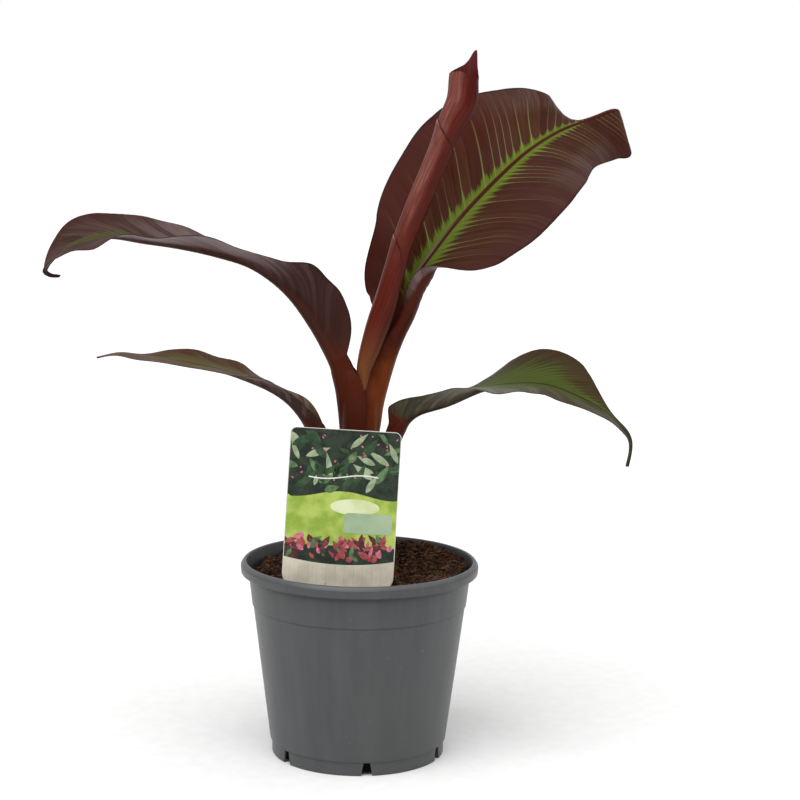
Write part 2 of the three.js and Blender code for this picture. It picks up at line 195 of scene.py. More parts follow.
LEFT_LOWER_FROND = dict(
    heading=180, nodes=["blade_left_lower"],
    stalk=dict(
        spine=[(-24.6, -4, 131.4), (-24.6, -4, 150), (-24.2, -5, 180), (-25.5, -8, 206), (-29.6, -10, 224)],
        radius=[3, 2.8, 2.6, 2.6, 2.8], reach=[10, 9, 8, 8, 9], fold=[70, 76, 76, 72, 66],
        rib=[6.4, 5.4, 4.6, 4.2, 4.2], wall=[2.4, 2.2, 2, 2, 1.6]),
    spine=[(-33.5, -11, 235.5), (-41, -12, 248), (-51, -13, 258.5), (-64, -14, 266.5), (-82, -15, 273.5),
           (-100, -16, 279), (-120, -17, 283), (-137, -18, 286), (-154, -19, 288), (-169, -20, 290),
           (-184, -21, 287)],
    rib=[4.4, 3.4, 2.2, 1.5, 1.1, 0.5], radius=[2.8, 2.2, 1.8, 1.5, 1.2, 1],
    left=dict(
        width=[12, 8, 12, 19, 24, 25, 24, 20, 14, 8, 1], fold=[66, 54, 28, 20, 8, 2, 0, 0, 0, -4, 0],
        curl=[0, -10, -14, -10, 0, 0, 0, 0, 0, 0, 0]),
    right=dict(
        width=[10, 11, 10, 16, 23, 24, 23, 20, 14, 8, 1], fold=[66, 54, 12, 4, 12, 12, 20, 12, 0, 0, 0],
        curl=[0, -14, 10, 20, 16, 8, 0, 0, 0, 0, 0]),
    sweep=(1.6, 1.6), pitch=(4.6, 4.6), warm=(0.2, 0.3), waves=0.8, seed=5,
    zone=[0, 0, 2, 4, 9, 14, 16, 6, 2, 0, 0], groove=[1.2, 0.9, 0.8, 0.7, 0.6, 0.5],
    join=16, stalky=24, sheen_from=0.05,
    painted_sheen=dict(
        upper=([0, 0, 0, 0, 0, 0, 0, 0, 0.3, 0.5, 0], [0.4, 1, 1.3, 1.1, 0.3, 0, 0, 0, 0.3, 0.5, 0]),
        under=([0, 0.2, 0.6, 1, 1, 1, 0.8, 0.6, 0.4, 0.2, 0],
               [0, 0.1, 0.2, 0.4, 0.5, 0.5, 0.4, 0.2, 0, 0, 0])))
RIGHT_FROND = dict(
    heading=-12, nodes=["blade_right_base", "blade_right_tip"],
    stalk=dict(
        spine=[(16.8, -19.6, 131.4), (16.8, -19.6, 150), (16.4, -17, 172), (16.4, -13, 195), (18.6, -10, 214),
               (23.6, -9, 230.6)],
        radius=[3, 2.8, 2.6, 2.6, 3], reach=[10, 9, 8, 7.5, 7.5, 11], fold=[70, 76, 76, 74, 72, 76],
        rib=[6.2, 5.4, 4.8, 4.4, 3.4], wall=[2.4, 2.2, 2, 1.8, 1.4]),
    spine=[(30, -10.6, 241.5), (40, -14, 250.5), (60, -20, 258), (85, -27, 269.5), (108, -34, 274),
           (127, -40, 274), (143, -47, 269.5), (161, -56, 261.5), (174, -60, 251.5), (182.8, -64, 239),
           (181.4, -66, 222)],
    rib=[3.0, 2.8, 2.0, 1.6, 1.1, 0.5], radius=[2.6, 2.2, 1.8, 1.5, 1.2, 1],
    left=dict(
        width=[18, 12, 21, 29.6, 35.6, 38.6, 33.5, 17, 5, 3, 1],
        fold=[84, 46, 12, 6, 20, 33, 34, 30, 20, 30, 20],
        curl=[0, -8, -10, -12, -10, -10, -16, -16, 0, 0, 0]),
    right=dict(
        width=[18, 15, 21, 31, 37.5, 36.5, 31.5, 31, 19, 6, 1],
        fold=[80, 52, 34, 14, -1, -2, -5, -4, 2, 0, 0], curl=[0, -10, -20, -14, -8, -6, -6, 0, 0, 0, 0]),
    sweep=(1.7, 1.7), pitch=(5.6, 5.6), warm=(0.5, 0.3), waves=1.0, seed=8,
    zone=[0, 3, 8, 16, 26, 24, 14, 6, 3, 0, 0], groove=[1.0, 0.9, 0.9, 0.9, 0.8, 0.5],
    join=6, stalky=12, sheen_from=0.05,
    painted_sheen=dict(
        upper=([0, 0.5, 0.5, 0.1, 0, 0, 0, 0, 0, 0, 0], [0, 0.4, 1, 1.3, 1.3, 1.1, 0.5, 0.2, 0.2, 0.2, 0]),
        under=([0, 0, 0.3, 0.5, 0.6, 0.5, 0.4, 0.2, 0, 0, 0],
               [0.1, 0.6, 1.1, 1.2, 0.8, 0.5, 0.3, 0.2, 0, 0, 0])))
UPRIGHT_FROND = dict(
    heading=90, nodes=["blade_upright_base", "blade_upright_tip"],
    stalk=dict(
        spine=[(15.6, 0, 131.6), (11.6, 0, 150), (9.8, 0, 190), (9, 0, 222), (9.4, 1, 238), (9.6, 3.4, 252),
               (12, 6.6, 266), (16.6, 9.6, 285), (23, 11.4, 304)],
        radius=[14, 11.6, 11, 10.4, 10.2, 8.6, 4.6, 3.4, 3], reach=[26, 24, 22, 21, 21, 20, 15, 11, 9],
        fold=[200, 200, 200, 200, 190, 164, 112, 86, 70], roll=[90, 90, 90, 90, 84, 72, 62, 56, 50],
        rib=[0.6, 0.6, 0.8, 1, 1.6, 4, 5.2, 6.0, 7.2], wall=[1.4, 1.4, 1.4, 1.5, 1.7, 2.2, 2.2, 2, 1.6]),
    spine=[(29, 12, 320), (35, 13, 339), (49, 17, 359), (64, 26, 378), (82, 40, 397), (101, 55, 415),
           (121, 75, 431), (147, 105, 445), (177, 135, 455), (193, 151, 460), (198, 165, 457),
           (198, 181, 450)],
    roll=[45, 34, 2, -5, -12, -20, -30, -45, -62, -73, -78],
    rib=[8.2, 9.6, 4.4, 2.8, 2.4, 2.1, 1.8, 1.5, 1.2, 0.9, 0.5], radius=[2.8, 2.4, 2.2, 1.8, 1.5, 1.2],
    left=dict(
        width=[27, 42, 56, 64, 67.8, 65, 53, 28, 32, 20, 1], fold=[37, 30, 2, 0, 0, 0, 0, 0, -112, -110, -40],
        curl=[0, 0, -8, -14, -16, -14, -8, 0, 0, 0, 0]),
    right=dict(
        width=[9, 16, 18, 30.5, 40.5, 46.2, 50, 51.3, 51.6, 51, 50, 47.5, 44.5, 40.5, 36.5, 35, 35, 36, 37,
               24, 1],
        fold=[60, 62, 50, 4, -2, 0, 0, 0, 0, 0, 0, 0, 0, 0, 0, 0, 0, 0, 0, 0, 0],
        curl=[160, 210, 160, 10, -6, -9, -12, -13, -14, -13, -12, -10, -8, -6, -4, -2, 0, 0, 0, 0, 0]),
    sweep=(0.9, 1.25), pitch=(9.4, 6.0), warm=(1.0, 0.0), waves=1.0, seed=12,
    zone=[4, 7.6, 8.4, 8, 7, 6, 5, 3.4, 0, 0, 0], groove=[1.8, 1.45, 1.3, 1.1, 0.9, 0.6],
    join=25, stalky=30, sheen_from=0.4,
    painted_sheen=dict(
        upper=([0, 0, 0, 0, 0.1, 0.1, 0.4, 0.8, 0.4, 0, 0], [0, 0, 0, 0.1, 0.15, 0.3, 0.4, 0.6, 0.3, 0.1, 0]),
        under=([0, 0, 0, 0.1, 0.1, 0.1, 0.1, 0.1, 0, 0, 0],
               [0, 1.3, 0.7, 0.1, 0.1, 0.1, 0.1, 0.1, 0, 0, 0])))
FRONDS = {
    "left_upper": LEFT_UPPER_FROND,
    "left_lower": LEFT_LOWER_FROND,
    "right": RIGHT_FROND,
    "upright": UPRIGHT_FROND,
}
ROW_STEP = 1.5
HALF_COLUMNS = 30
BLADE_WALL = 0.5
EDGE_WALL = 0.14
TIP_HALF_WIDTH = 0.5
VEIN_RELIEF = 0.16
# How far the veins drift from even steps, the wave along the margin and the swell of the faces
VEIN_DRIFT, DRIFT_LENGTH = 0.55, 31
WAVE_LENGTH = 17
SWELL, SWELL_LENGTH, SWELL_WIDTH = 0.7, 26, 21
# Half width of the keel's red-brown band, from the rib's thickness
KEEL_SPREAD = 1.42
KEEL_LOSS = 2.2
# The vein phase starts apart on the two halves, so that their veins don't mirror each other
LEFT_PHASE = 60.37
RIGHT_PHASE = 130.0
# Stretch of the stalk, below the blade, where its painted orange glow fades
GLOW_FADE = (-58, -12)

# Rolled leaf: spine, radii, and its three rolled sheets, each with the height of its edge round the roll
ROLL_SPINE = [(3.2, -5.2, 247.2), (3.2, -5.2, 252), (1, -3, 274), (8, -3, 300), (18, -3, 332), (29, -3, 370),
              (38.5, -3, 395), (47, -2, 416.5), (53.4, -1, 432.5), (59.8, 0.5, 449), (67.2, 2, 465),
              (68.3, 3, 481), (69.2, 4, 492), (70.5, 4.5, 503)]
ROLL_WIDE = [3.1, 3.8, 6.6, 7.8, 7.7, 7.7, 8.5, 8.8, 8.7, 9.2, 12.2, 11.8, 11.4]
ROLL_DEEP = [3.1, 3.6, 6.4, 7.4, 7.4, 7.4, 8.2, 8.6, 8.6, 8.9, 10.8, 10.6, 10.4]
ROLL_SHEETS = [
    dict(inset=1.5, edge=[(184, 0.928), (135, 0.932), (105, 0.933), (67, 0.923), (10, 0.92), (-8, 0.93),
                          (-29, 0.96), (-42, 1.0), (-58, 0.993), (-75, 0.97), (-90, 0.958), (-130, 0.943),
                          (-176, 0.928)]),
    dict(inset=0.8, edge=[(184, 0.793), (160, 0.788), (135, 0.778), (110, 0.768), (90, 0.758), (65, 0.748),
                          (45, 0.743), (20, 0.73), (0, 0.723), (-40, 0.69), (-90, 0.626), (-176, 0.488)]),
    dict(inset=0.0, edge=[(184, 0.478), (150, 0.471), (125, 0.461), (96, 0.446), (64, 0.396), (40, 0.358),
                          (23, 0.319), (0, 0.234), (-60, 0.171), (-176, 0.111)]),
]
ROLL_START = 0.004
ROLL_WALL = 0.45
ROLL_ROWS = 150
ROLL_COLUMNS = 110
ROLL_SPIRAL = 0.35
ROLL_FLARE = 0.35
# Mean radius, and degrees to a radian, for the way round the roll to a sheet's edge
ROLL_RADIUS = 8
RADIAN = 57.3

# Colours, as linear red, green, blue
STEM_RED = (0.068, 0.012, 0.005)
STEM_DARK = (0.030, 0.006, 0.003)
# Painted orange glow, for light shining through the stalks
STEM_GLOW_ORANGE = (0.205, 0.046, 0.009)
STEM_FRECKLE = (0.16, 0.06, 0.035)
MAROON = (0.042, 0.010, 0.0035)
RIB_RED = (0.052, 0.008, 0.004)
# Painted highlight along the rib's left flank
RIB_HIGHLIGHT = (0.20, 0.14, 0.11)
LOBE_RED = (0.052, 0.006, 0.002)
RIM_DARK = (0.022, 0.008, 0.006)
ROLL_DARK, ROLL_LIGHT = (0.074, 0.007, 0.004), (0.112, 0.014, 0.008)
ROLL_CLOUD = (0.062, 0.006, 0.003)
# Painted sheen and glints on the roll's front left
ROLL_SHEEN, ROLL_GLINT = (0.230, 0.078, 0.058), (0.34, 0.15, 0.13)
# Painted shade on the roll's right side
ROLL_SHADE = (0.055, 0.004, 0.002)
ROLL_FOOT = (0.190, 0.068, 0.020)
ROLL_HAIR = (0.21, 0.08, 0.055)
# Painted shadow along the sheets' edges, and a pale pinkish painted highlight along them on the left
ROLL_EDGE_SHADOW, ROLL_EDGE_HIGHLIGHT = (0.040, 0.006, 0.005), (0.34, 0.15, 0.125)
ROLL_INSIDE = ((0.075, 0.007, 0.008), (0.125, 0.016, 0.016))
POT_DARK, POT_LIGHT = (0.052, 0.055, 0.059), (0.068, 0.071, 0.074)
POT_CLOUD, POT_DUST = (0.063, 0.065, 0.062), (0.16, 0.15, 0.13)
# Painted shade under the lip, painted shade at the step and a painted highlight on the rim's top
POT_LIP_SHADE, POT_STEP_SHADE, POT_RIM_HIGHLIGHT = (0.020, 0.021, 0.022), (0.030, 0.031, 0.032), (0.125, 0.130, 0.135)
# Painted shade on the low soil by the pot's foot
SOIL_FOOT_SHADE = (0.003, 0.002, 0.0015)
FLOOR_GREYS = ((0.87, 0.87, 0.865), (0.90, 0.90, 0.895))

# Each leaf's upper and under face: what upper_material and under_material take
LEAF_PAINTS = {
    "left_upper": (
        dict(dark=(0.036, 0.015, 0.011), light=(0.078, 0.044, 0.036), green=(0.060, 0.068, 0.018),
             edge=(0.050, 0.016, 0.013), vein=(0.14, 0.09, 0.08), painted_sheen=(0.165, 0.120, 0.118),
             vein_strength=0.4),
        dict(dark=(0.036, 0.011, 0.009), light=(0.053, 0.019, 0.015), painted_sheen=(0.175, 0.112, 0.112),
             rib=(0.050, 0.014, 0.009), least=0.4)),
    "left_lower": (
        dict(dark=(0.062, 0.026, 0.008), light=(0.108, 0.060, 0.020), green=(0.112, 0.092, 0.032),
             edge=(0.098, 0.036, 0.011), vein=(0.15, 0.11, 0.07), painted_sheen=(0.150, 0.120, 0.100),
             vein_strength=0.4),
        dict(dark=(0.032, 0.014, 0.009), light=(0.075, 0.040, 0.028), painted_sheen=(0.165, 0.130, 0.115),
             rib=(0.036, 0.014, 0.009), least=0.3)),
    "right": (
        dict(dark=(0.030, 0.028, 0.010), light=(0.058, 0.056, 0.017), green=(0.056, 0.076, 0.013),
             edge=(0.044, 0.022, 0.010), vein=(0.12, 0.14, 0.045), painted_sheen=(0.135, 0.138, 0.100),
             vein_strength=0.5, rib=(0.020, 0.016, 0.008)),
        dict(dark=(0.026, 0.018, 0.009), light=(0.056, 0.044, 0.018), painted_sheen=(0.165, 0.155, 0.118),
             rib=(0.024, 0.011, 0.006), least=0.65)),
    "upright": (
        dict(dark=MAROON, light=(0.066, 0.023, 0.010), green=(0.105, 0.165, 0.012),
             edge=(0.055, 0.016, 0.014), vein=(0.180, 0.190, 0.062), painted_sheen=(0.120, 0.085, 0.070),
             vein_strength=0.85, fringe=1.35, pale_end=290.0, red_from=-14.0),
        dict(dark=(0.055, 0.018, 0.012), light=(0.085, 0.040, 0.032), painted_sheen=(0.210, 0.140, 0.135),
             rib=STEM_RED, least=0.65)),
}

# Browns of the soil and inks of the label: dark tone, light tone and how fine the blots are
BED_BROWN = ((0.007, 0.004, 0.003), (0.064, 0.031, 0.017), 260)
CRUMB_BROWNS = {
    "crumb_black": ((0.015, 0.009, 0.006), (0.050, 0.027, 0.017), 600),
    "crumb_brown": ((0.036, 0.018, 0.011), (0.095, 0.048, 0.026), 600),
    "crumb_red": ((0.065, 0.026, 0.013), (0.140, 0.060, 0.028), 600),
    "crumb_bark": ((0.060, 0.030, 0.016), (0.150, 0.085, 0.045), 500),
}
FIBRE_BROWNS = {
    "fibre_red": ((0.085, 0.030, 0.014), (0.190, 0.075, 0.035), 400),
    "fibre_brown": ((0.045, 0.020, 0.010), (0.110, 0.050, 0.025), 400),
    "fibre_tan": ((0.150, 0.085, 0.045), (0.300, 0.190, 0.110), 400),
}
CARD_WHITE = ((0.52, 0.53, 0.50), (0.62, 0.62, 0.58), 60)
INKS = {
    "deep_green": ((0.010, 0.018, 0.012), (0.028, 0.042, 0.024), 160),
    "lawn": ((0.24, 0.36, 0.045), (0.42, 0.52, 0.11), 90),
    "glow": ((0.52, 0.60, 0.30), (0.68, 0.72, 0.46), 60),
    "leaf_dark": ((0.020, 0.048, 0.022), (0.045, 0.085, 0.038), 220),
    "leaf_mid": ((0.06, 0.12, 0.05), (0.13, 0.21, 0.09), 220),
    "leaf_pale": ((0.22, 0.29, 0.17), (0.36, 0.42, 0.27), 200),
    "pink": ((0.42, 0.09, 0.14), (0.60, 0.20, 0.26), 300),
    "red": ((0.26, 0.04, 0.045), (0.42, 0.09, 0.09), 240),
    "maroon": ((0.055, 0.014, 0.018), (0.11, 0.028, 0.032), 240),
    "panel": ((0.26, 0.37, 0.22), (0.36, 0.46, 0.30), 50),
    "white": ((0.74, 0.75, 0.72), (0.80, 0.80, 0.77), 50),
    "cream": ((0.50, 0.45, 0.36), (0.60, 0.55, 0.45), 90),
    "line": ((0.36, 0.31, 0.23), (0.42, 0.36, 0.27), 90),
}


# Curves and frames

def keyed(keys, t):
    """Smooth values between keys that stand at equal steps of t, for an array of t."""
    keys = np.asarray(keys, float)
    spans = len(keys) - 1
    x = np.clip(np.asarray(t, float), 0, 1) * spans
    i = np.minimum(x.astype(int), spans - 1)
    f = x - i
    padded = np.concatenate([[2 * keys[0] - keys[1]], keys, [2 * keys[-1] - keys[-2]]])
    before, a, b, after = padded[i], padded[i + 1], padded[i + 2], padded[i + 3]
    if keys.ndim > 1:
        f = f[:, None]
    return 0.5 * (2 * a + (b - before) * f + (2 * before - 5 * a + 4 * b - after) * f ** 2
                  + (3 * a - before - 3 * b + after) * f ** 3)


def smoothstep(low, high, x):
    x = np.clip((np.asarray(x, float) - low) / (high - low), 0, 1)
    return x * x * (3 - 2 * x)


def unit(vectors, guard=0.0):
    """Each vector at length 1. A tiny guard keeps one without length from dividing by nothing."""
    return vectors / (np.linalg.norm(vectors, axis=1)[:, None] + guard)


def smooth_spine(points, fine=900):
    """Many close points on the curve through the given ones, and the length up to each."""
    curve = keyed(points, np.linspace(0, 1, fine))
    return curve, np.concatenate([[0], np.cumsum(np.linalg.norm(np.diff(curve, axis=0), axis=1))])


def spine_frames(points, heading, at_lengths):
    """Place, side and face vectors at the given lengths along a spine that heads that way, in degrees."""
    curve, lengths = smooth_spine(points)
    place, along = (np.stack([np.interp(at_lengths, lengths, values[:, k]) for k in range(3)], 1)
                    for values in (curve, np.gradient(curve, axis=0)))
    along = unit(along)
    turn = math.radians(heading)
    side = np.array([math.sin(turn), -math.cos(turn), 0])
    across = unit(side - (along @ side)[:, None] * along)
    return place, across, np.cross(across, along)


def wobble(x, seed, waves=4):
    """A smooth repeatable ripple between about -1 and 1."""
    rng = random.Random(seed)
    total = np.zeros_like(np.asarray(x, float))
    for n in range(waves):
        total += math.pow(0.75, n) * np.sin((n + 1) * rng.uniform(0.8, 1.2) * x + rng.uniform(0, 2 * math.pi))
    return total / 2.2


def full_turn(count, start=0.0):
    """Equal steps of angle once round, with the first one start steps on."""
    return 2 * math.pi * (np.arange(count) + start) / count


# Pieces

def mesh_object(name, vertices, faces):
    """A mesh object in metres, from points in millimetres."""
    mesh = bpy.data.meshes.new(name)
    mesh.from_pydata((np.asarray(vertices, float) * METRES).tolist(), [], faces)
    thing = bpy.data.objects.new(name, mesh)
    bpy.context.scene.collection.objects.link(thing)
    return thing


def make_piece(name, vertices, faces, materials, replaces=(), kinds=None, attributes=None, sharp=None,
               normals=None):
    """Makes one mesh object from millimetre points and rides it on the part's one body.

    kinds gives the number of each face's material, attributes gives values for each point, and edges that
    turn by more than sharp degrees are shaded sharp.
    """
    piece = mesh_object(name, vertices, faces)
    mesh = piece.data
    for material in materials:
        mesh.materials.append(material)
    if kinds is not None:
        mesh.polygons.foreach_set("material_index", np.asarray(kinds, np.int32))
    for key, values in (attributes or {}).items():
        layer = mesh.attributes.new(key, "FLOAT", "POINT")
        layer.data.foreach_set("value", np.asarray(values, np.float32))
    mesh.polygons.foreach_set("use_smooth", np.ones(len(mesh.polygons), bool))
    if sharp is not None:
        mesh.set_sharp_from_angle(angle=math.radians(sharp))
    if normals is not None:
        mesh.normals_split_custom_set_from_vertices(np.asarray(normals).tolist())
    mesh.update()
    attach(piece, "root")
    if replaces:
        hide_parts(*replaces)


class Pile:
    """Many small bodies that become one piece, each in one of the piece's materials."""

    def __init__(self):
        self.vertices, self.faces, self.kinds = [], [], []

    def add(self, vertices, faces, kind):
        first = len(self.vertices)
        self.faces.extend(tuple(i + first for i in face) for face in faces)
        self.vertices.extend(vertices)
        self.kinds.extend([kind] * len(faces))


def band_faces(rows, size):
    """Quads between rows of closed rings."""
    return [(i * size + j, i * size + (j + 1) % size, (i + 1) * size + (j + 1) % size, (i + 1) * size + j)
            for i in range(rows - 1) for j in range(size)]


def ring_faces(rows, size):
    """Quads between rows of closed rings, and a strip of quads over each end."""
    faces = band_faces(rows, size)
    last = (rows - 1) * size
    for j in range(size // 2 - 1):
        mirror = size - 1 - j
        faces.append((j, mirror, mirror - 1, j + 1))
        faces.append((last + j, last + j + 1, last + mirror - 1, last + mirror))
    return faces


def vertex_normals(vertices, faces):
    mesh = bpy.data.meshes.new("measure")
    mesh.from_pydata(vertices.tolist(), [], faces)
    normals = np.zeros(len(vertices) * 3, np.float32)
    mesh.vertices.foreach_get("normal", normals)
    bpy.data.meshes.remove(mesh)
    return normals.reshape(-1, 3)


# Material nodes

class Nodes:
    """Short calls that build shader nodes. A value may be a number, a colour or another node's socket."""

    def __init__(self, tree):
        self.tree = tree

    def put(self, socket, value):
        if isinstance(value, bpy.types.NodeSocket):
            self.tree.links.new(value, socket)
        elif hasattr(socket.default_value, "__len__") and len(socket.default_value) == 4:
            socket.default_value = (*value, 1.0)
        else:
            socket.default_value = value

    def add(self, kind, inputs, output=0, **settings):
        """Makes a node of that kind with those inputs, by number or name, and gives one output."""
        node = self.tree.nodes.new("ShaderNode" + kind)
        for key, value in settings.items():
            setattr(node, key, value)
        for key, value in inputs.items():
            self.put(node.inputs[key], value)
        return node.outputs[output]

    def attribute(self, name):
        return self.add("Attribute", {}, "Fac", attribute_name=name)

    def place(self):
        return self.add("TexCoord", {}, "Object")

    def part(self, vector, axis):
        return self.add("SeparateXYZ", {0: vector}, axis)

    def math(self, operation, a, b=0.0):
        return self.add("Math", {0: a, 1: b}, operation=operation)

    def plus(self, total, *others):
        for other in others:
            total = self.math("ADD", total, other)
        return total

    def minus(self, a, b):
        return self.math("SUBTRACT", a, b)

    def times(self, product, *others):
        for other in others:
            product = self.math("MULTIPLY", product, other)
        return product

    def span(self, value, low, high, out_low=0.0, out_high=1.0):
        """Maps low to high smoothly on to out_low to out_high."""
        inputs = dict(enumerate((value, low, high, out_low, out_high)))
        return self.add("MapRange", inputs, interpolation_type="SMOOTHSTEP")

    def band(self, value, start, full, fading, end):
        """1 from full to fading, and 0 before start and after end."""
        return self.times(self.span(value, start, full), self.span(value, end, fading))

    def scaled(self, vector, factors):
        return self.add("VectorMath", {0: vector, 1: factors}, operation="MULTIPLY")

    def noise(self, vector, scale=1.0, detail=2.0, rough=0.5):
        inputs = {"Vector": vector, "Scale": scale, "Detail": detail, "Roughness": rough}
        return self.add("TexNoise", inputs, "Fac")

    def flat_noise(self, a, a_scale, b, b_scale, detail=2.0, rough=0.5):
        """Noise over two values, each times its scale."""
        spot = self.add("CombineXYZ", {0: self.times(a, a_scale), 1: self.times(b, b_scale)})
        return self.noise(spot, 1.0, detail, rough)

    def random(self, value):
        """A random number from 0 to 1 that stays the same for the same value."""
        return self.add("TexWhiteNoise", {"W": value}, "Value", noise_dimensions="1D")

    def bump(self, height, strength, distance):
        return self.add("Bump", {"Height": height, "Strength": strength, "Distance": distance})

    def layered(self, colour, *coats):
        """The colour with coats laid over it in turn.

        A coat is a colour and its share. Or it is a colour, a value and two limits, between which the value
        brings the share from 0 to 1, or to a last number.
        """
        for coat, share, *limits in coats:
            if limits:
                low, high, *most = limits
                share = self.span(share, low, high, 0.0, *most)
            colour = self.add("Mix", {0: share, 6: colour, 7: coat}, 2, data_type="RGBA")
        return colour


class Paint(Nodes):
    """The nodes of one material."""

    def __init__(self, name, roughness, specular, coat=0.0, coat_roughness=0.3):
        self.material = bpy.data.materials.new(name)
        self.material.use_nodes = True
        super().__init__(self.material.node_tree)
        self.inputs = self.tree.nodes["Principled BSDF"].inputs
        self.put(self.inputs["Roughness"], roughness)
        self.put(self.inputs["Specular IOR Level"], specular)
        self.put(self.inputs["Coat Weight"], coat)
        self.put(self.inputs["Coat Roughness"], coat_roughness)

    def finish(self, colour, roughness=None, normal=None):
        for key, value in (("Base Color", colour), ("Roughness", roughness), ("Normal", normal)):
            if value is not None:
                self.put(self.inputs[key], value)
        return self.material


def stalk_material():
    """Waxy red-brown stalks with fine lengthwise fibres, and a painted orange glow for light shining through
    them, full where the glow value is 1 and gone, leaving maroon, where it is 0.
    """
    paint = Paint("stalk_skin", roughness=0.4, specular=0.06)
    side, length = paint.attribute("leaf_side"), paint.attribute("leaf_length")
    fibres = paint.flat_noise(side, 1.6, length, 0.03, 4.0, 0.65)
    patches = paint.noise(paint.place(), 38.0, 3.0)
    # Painted orange glow where light shines through, broken by random patches
    glow_and_patches = paint.plus(paint.attribute("warm"), paint.span(patches, 0.3, 0.7, -0.2, 0.2))
    freckles = paint.noise(paint.place(), 900.0)
    colour = paint.layered(
        STEM_RED,
        (STEM_GLOW_ORANGE, glow_and_patches, 0.05, 0.95),
        (STEM_DARK, fibres, 0.4, 0.8, 0.45),
        (STEM_FRECKLE, freckles, 0.68, 0.76, 0.3))
    return paint.finish(colour, paint.span(fibres, 0.3, 0.8, 0.34, 0.5), paint.bump(fibres, 0.3, 0.0003))


def leaf_streaks(paint, share, across, fine_across, gap_shift):
    """What follows the side veins.

    Gives how near the next vein is, from 1 on it to 0 halfway, a random value for that vein, coarse and fine
    streaks, and a tone that differs from gap to gap.
    """
    phase = paint.attribute("vein_phase")
    nearest = paint.math("ROUND", phase)
    off = paint.math("ABSOLUTE", paint.minus(phase, nearest))
    near = paint.minus(1.0, paint.times(off, 2.0))
    coarse = paint.flat_noise(phase, across, share, 1.3, 3.0, 0.6)
    fine = paint.flat_noise(phase, fine_across, share, 2.5)
    gap = paint.random(paint.math("FLOOR", phase))
    tone = paint.plus(coarse, paint.span(gap, 0.0, 1.0, -gap_shift, gap_shift))
    return near, paint.random(nearest), coarse, fine, tone


def sheen_cover(paint, tone, fine, least):
    """How much of the pale painted sheen shows, streaked along the veins."""
    return paint.times(paint.attribute("painted_sheen"), paint.span(tone, 0.34, 0.64, least, 1.0),
                       paint.span(fine, 0.34, 0.66, 0.45, 1.0))


def upper_material(name, dark, light, green, edge, vein, painted_sheen, vein_strength, rib=RIB_RED, fringe=0.7,
                   pale_end=None, red_from=None):
    """Upper face: a dark base with streaks, thin pale veins, a pale painted sheen, a green zone by the rib
    and a red groove.

    fringe is how far the green runs out along the veins, pale_end where the painted highlight on the rib's
    left flank ends, and red_from where the left half turns plain red.
    """
    paint = Paint(name, roughness=0.34, specular=0.05, coat=0.01, coat_roughness=0.25)
    side, share = paint.attribute("leaf_side"), paint.attribute("leaf_share")
    zone, groove = paint.attribute("green_zone"), paint.attribute("groove")
    near, vein_random, streaks, fine, tone = leaf_streaks(paint, share, 1.9, 9.0, 0.13)
    away = paint.math("ABSOLUTE", side)
    colour = paint.layered(
        dark,
        (light, tone, 0.3, 0.72),
        (dark, fine, 0.4, 0.8, 0.3),
        (edge, paint.noise(paint.place(), 20.0), 0.4, 0.66, 0.6),
        (edge, share, 0.5, 0.95, 0.85))
    if red_from:
        colour = paint.layered(colour, (LOBE_RED, side, red_from, red_from - 30.0, 0.75))
    feather = paint.math("POWER", paint.math("MAXIMUM", near, 0.0), 3.0)
    spike = paint.times(feather, paint.span(vein_random, 0.0, 1.0, 0.25 * fringe, fringe))
    reach = paint.times(zone, paint.plus(spike, 0.74, paint.span(fine, 0.3, 0.7, -0.15, 0.25)))
    inside = paint.span(paint.math("DIVIDE", paint.minus(reach, away), paint.plus(zone, 0.6)), -0.14, 0.36)
    line = paint.span(near, 0.86, 0.97)
    colour = paint.layered(
        colour,
        # Pale painted sheen, for light glancing off the face
        (painted_sheen, sheen_cover(paint, tone, fine, 0.22)),
        (RIM_DARK, share, 0.955, 0.99, 0.7),
        (green, paint.times(inside, paint.span(streaks, 0.25, 0.7, 1.0, 0.8))),
        (vein, paint.times(line, paint.span(vein_random, 0.2, 0.8, 0.12, 1.0),
                           paint.span(share, 0.1, 0.95, vein_strength, 0.0))),
        (rib, paint.minus(away, groove), 0.35, -0.1))
    # Painted highlight along the rib's left flank, fading out towards the tip
    if pale_end:
        flank = paint.times(paint.span(side, -0.15, -0.6), paint.span(paint.plus(side, groove), -0.5, -0.1))
        fading = paint.span(paint.attribute("leaf_length"), pale_end, pale_end - 75.0, 0.0, 0.9)
        colour = paint.layered(colour, (RIB_HIGHLIGHT, paint.times(flank, fading)))
    colour = paint.layered(colour, (STEM_RED, paint.attribute("stalky")))
    height = paint.plus(fine, paint.times(line, 0.5))
    return paint.finish(colour, paint.span(streaks, 0.25, 0.8, 0.33, 0.47), paint.bump(height, 0.25, 0.0003))


def under_material(name, dark, light, painted_sheen, rib, least):
    """Under face: paler and duller, with a pale painted sheen between the veins and a red-brown keel."""
    paint = Paint(name, roughness=0.4, specular=0.10)
    share = paint.attribute("leaf_share")
    near, _, streaks, fine, tone = leaf_streaks(paint, share, 1.7, 8.0, 0.15)
    away = paint.math("ABSOLUTE", paint.attribute("leaf_side"))
    colour = paint.layered(
        dark,
        (light, tone, 0.3, 0.75),
        (dark, fine, 0.45, 0.8, 0.4),
        (MAROON, paint.noise(paint.place(), 26.0), 0.4, 0.7, 0.4),
        # Pale painted sheen, for light glancing off the face
        (painted_sheen, sheen_cover(paint, tone, fine, least)),
        (dark, near, 0.86, 0.98, 0.5),
        (RIM_DARK, share, 0.93, 1.0, 0.8),
        (rib, paint.minus(away, paint.attribute("keel")), 0.9, -0.9),
        (STEM_RED, paint.attribute("stalky")))
    height = paint.plus(fine, paint.times(near, 0.5))
    return paint.finish(colour, paint.span(streaks, 0.25, 0.8, 0.38, 0.54), paint.bump(height, 0.3, 0.0004))


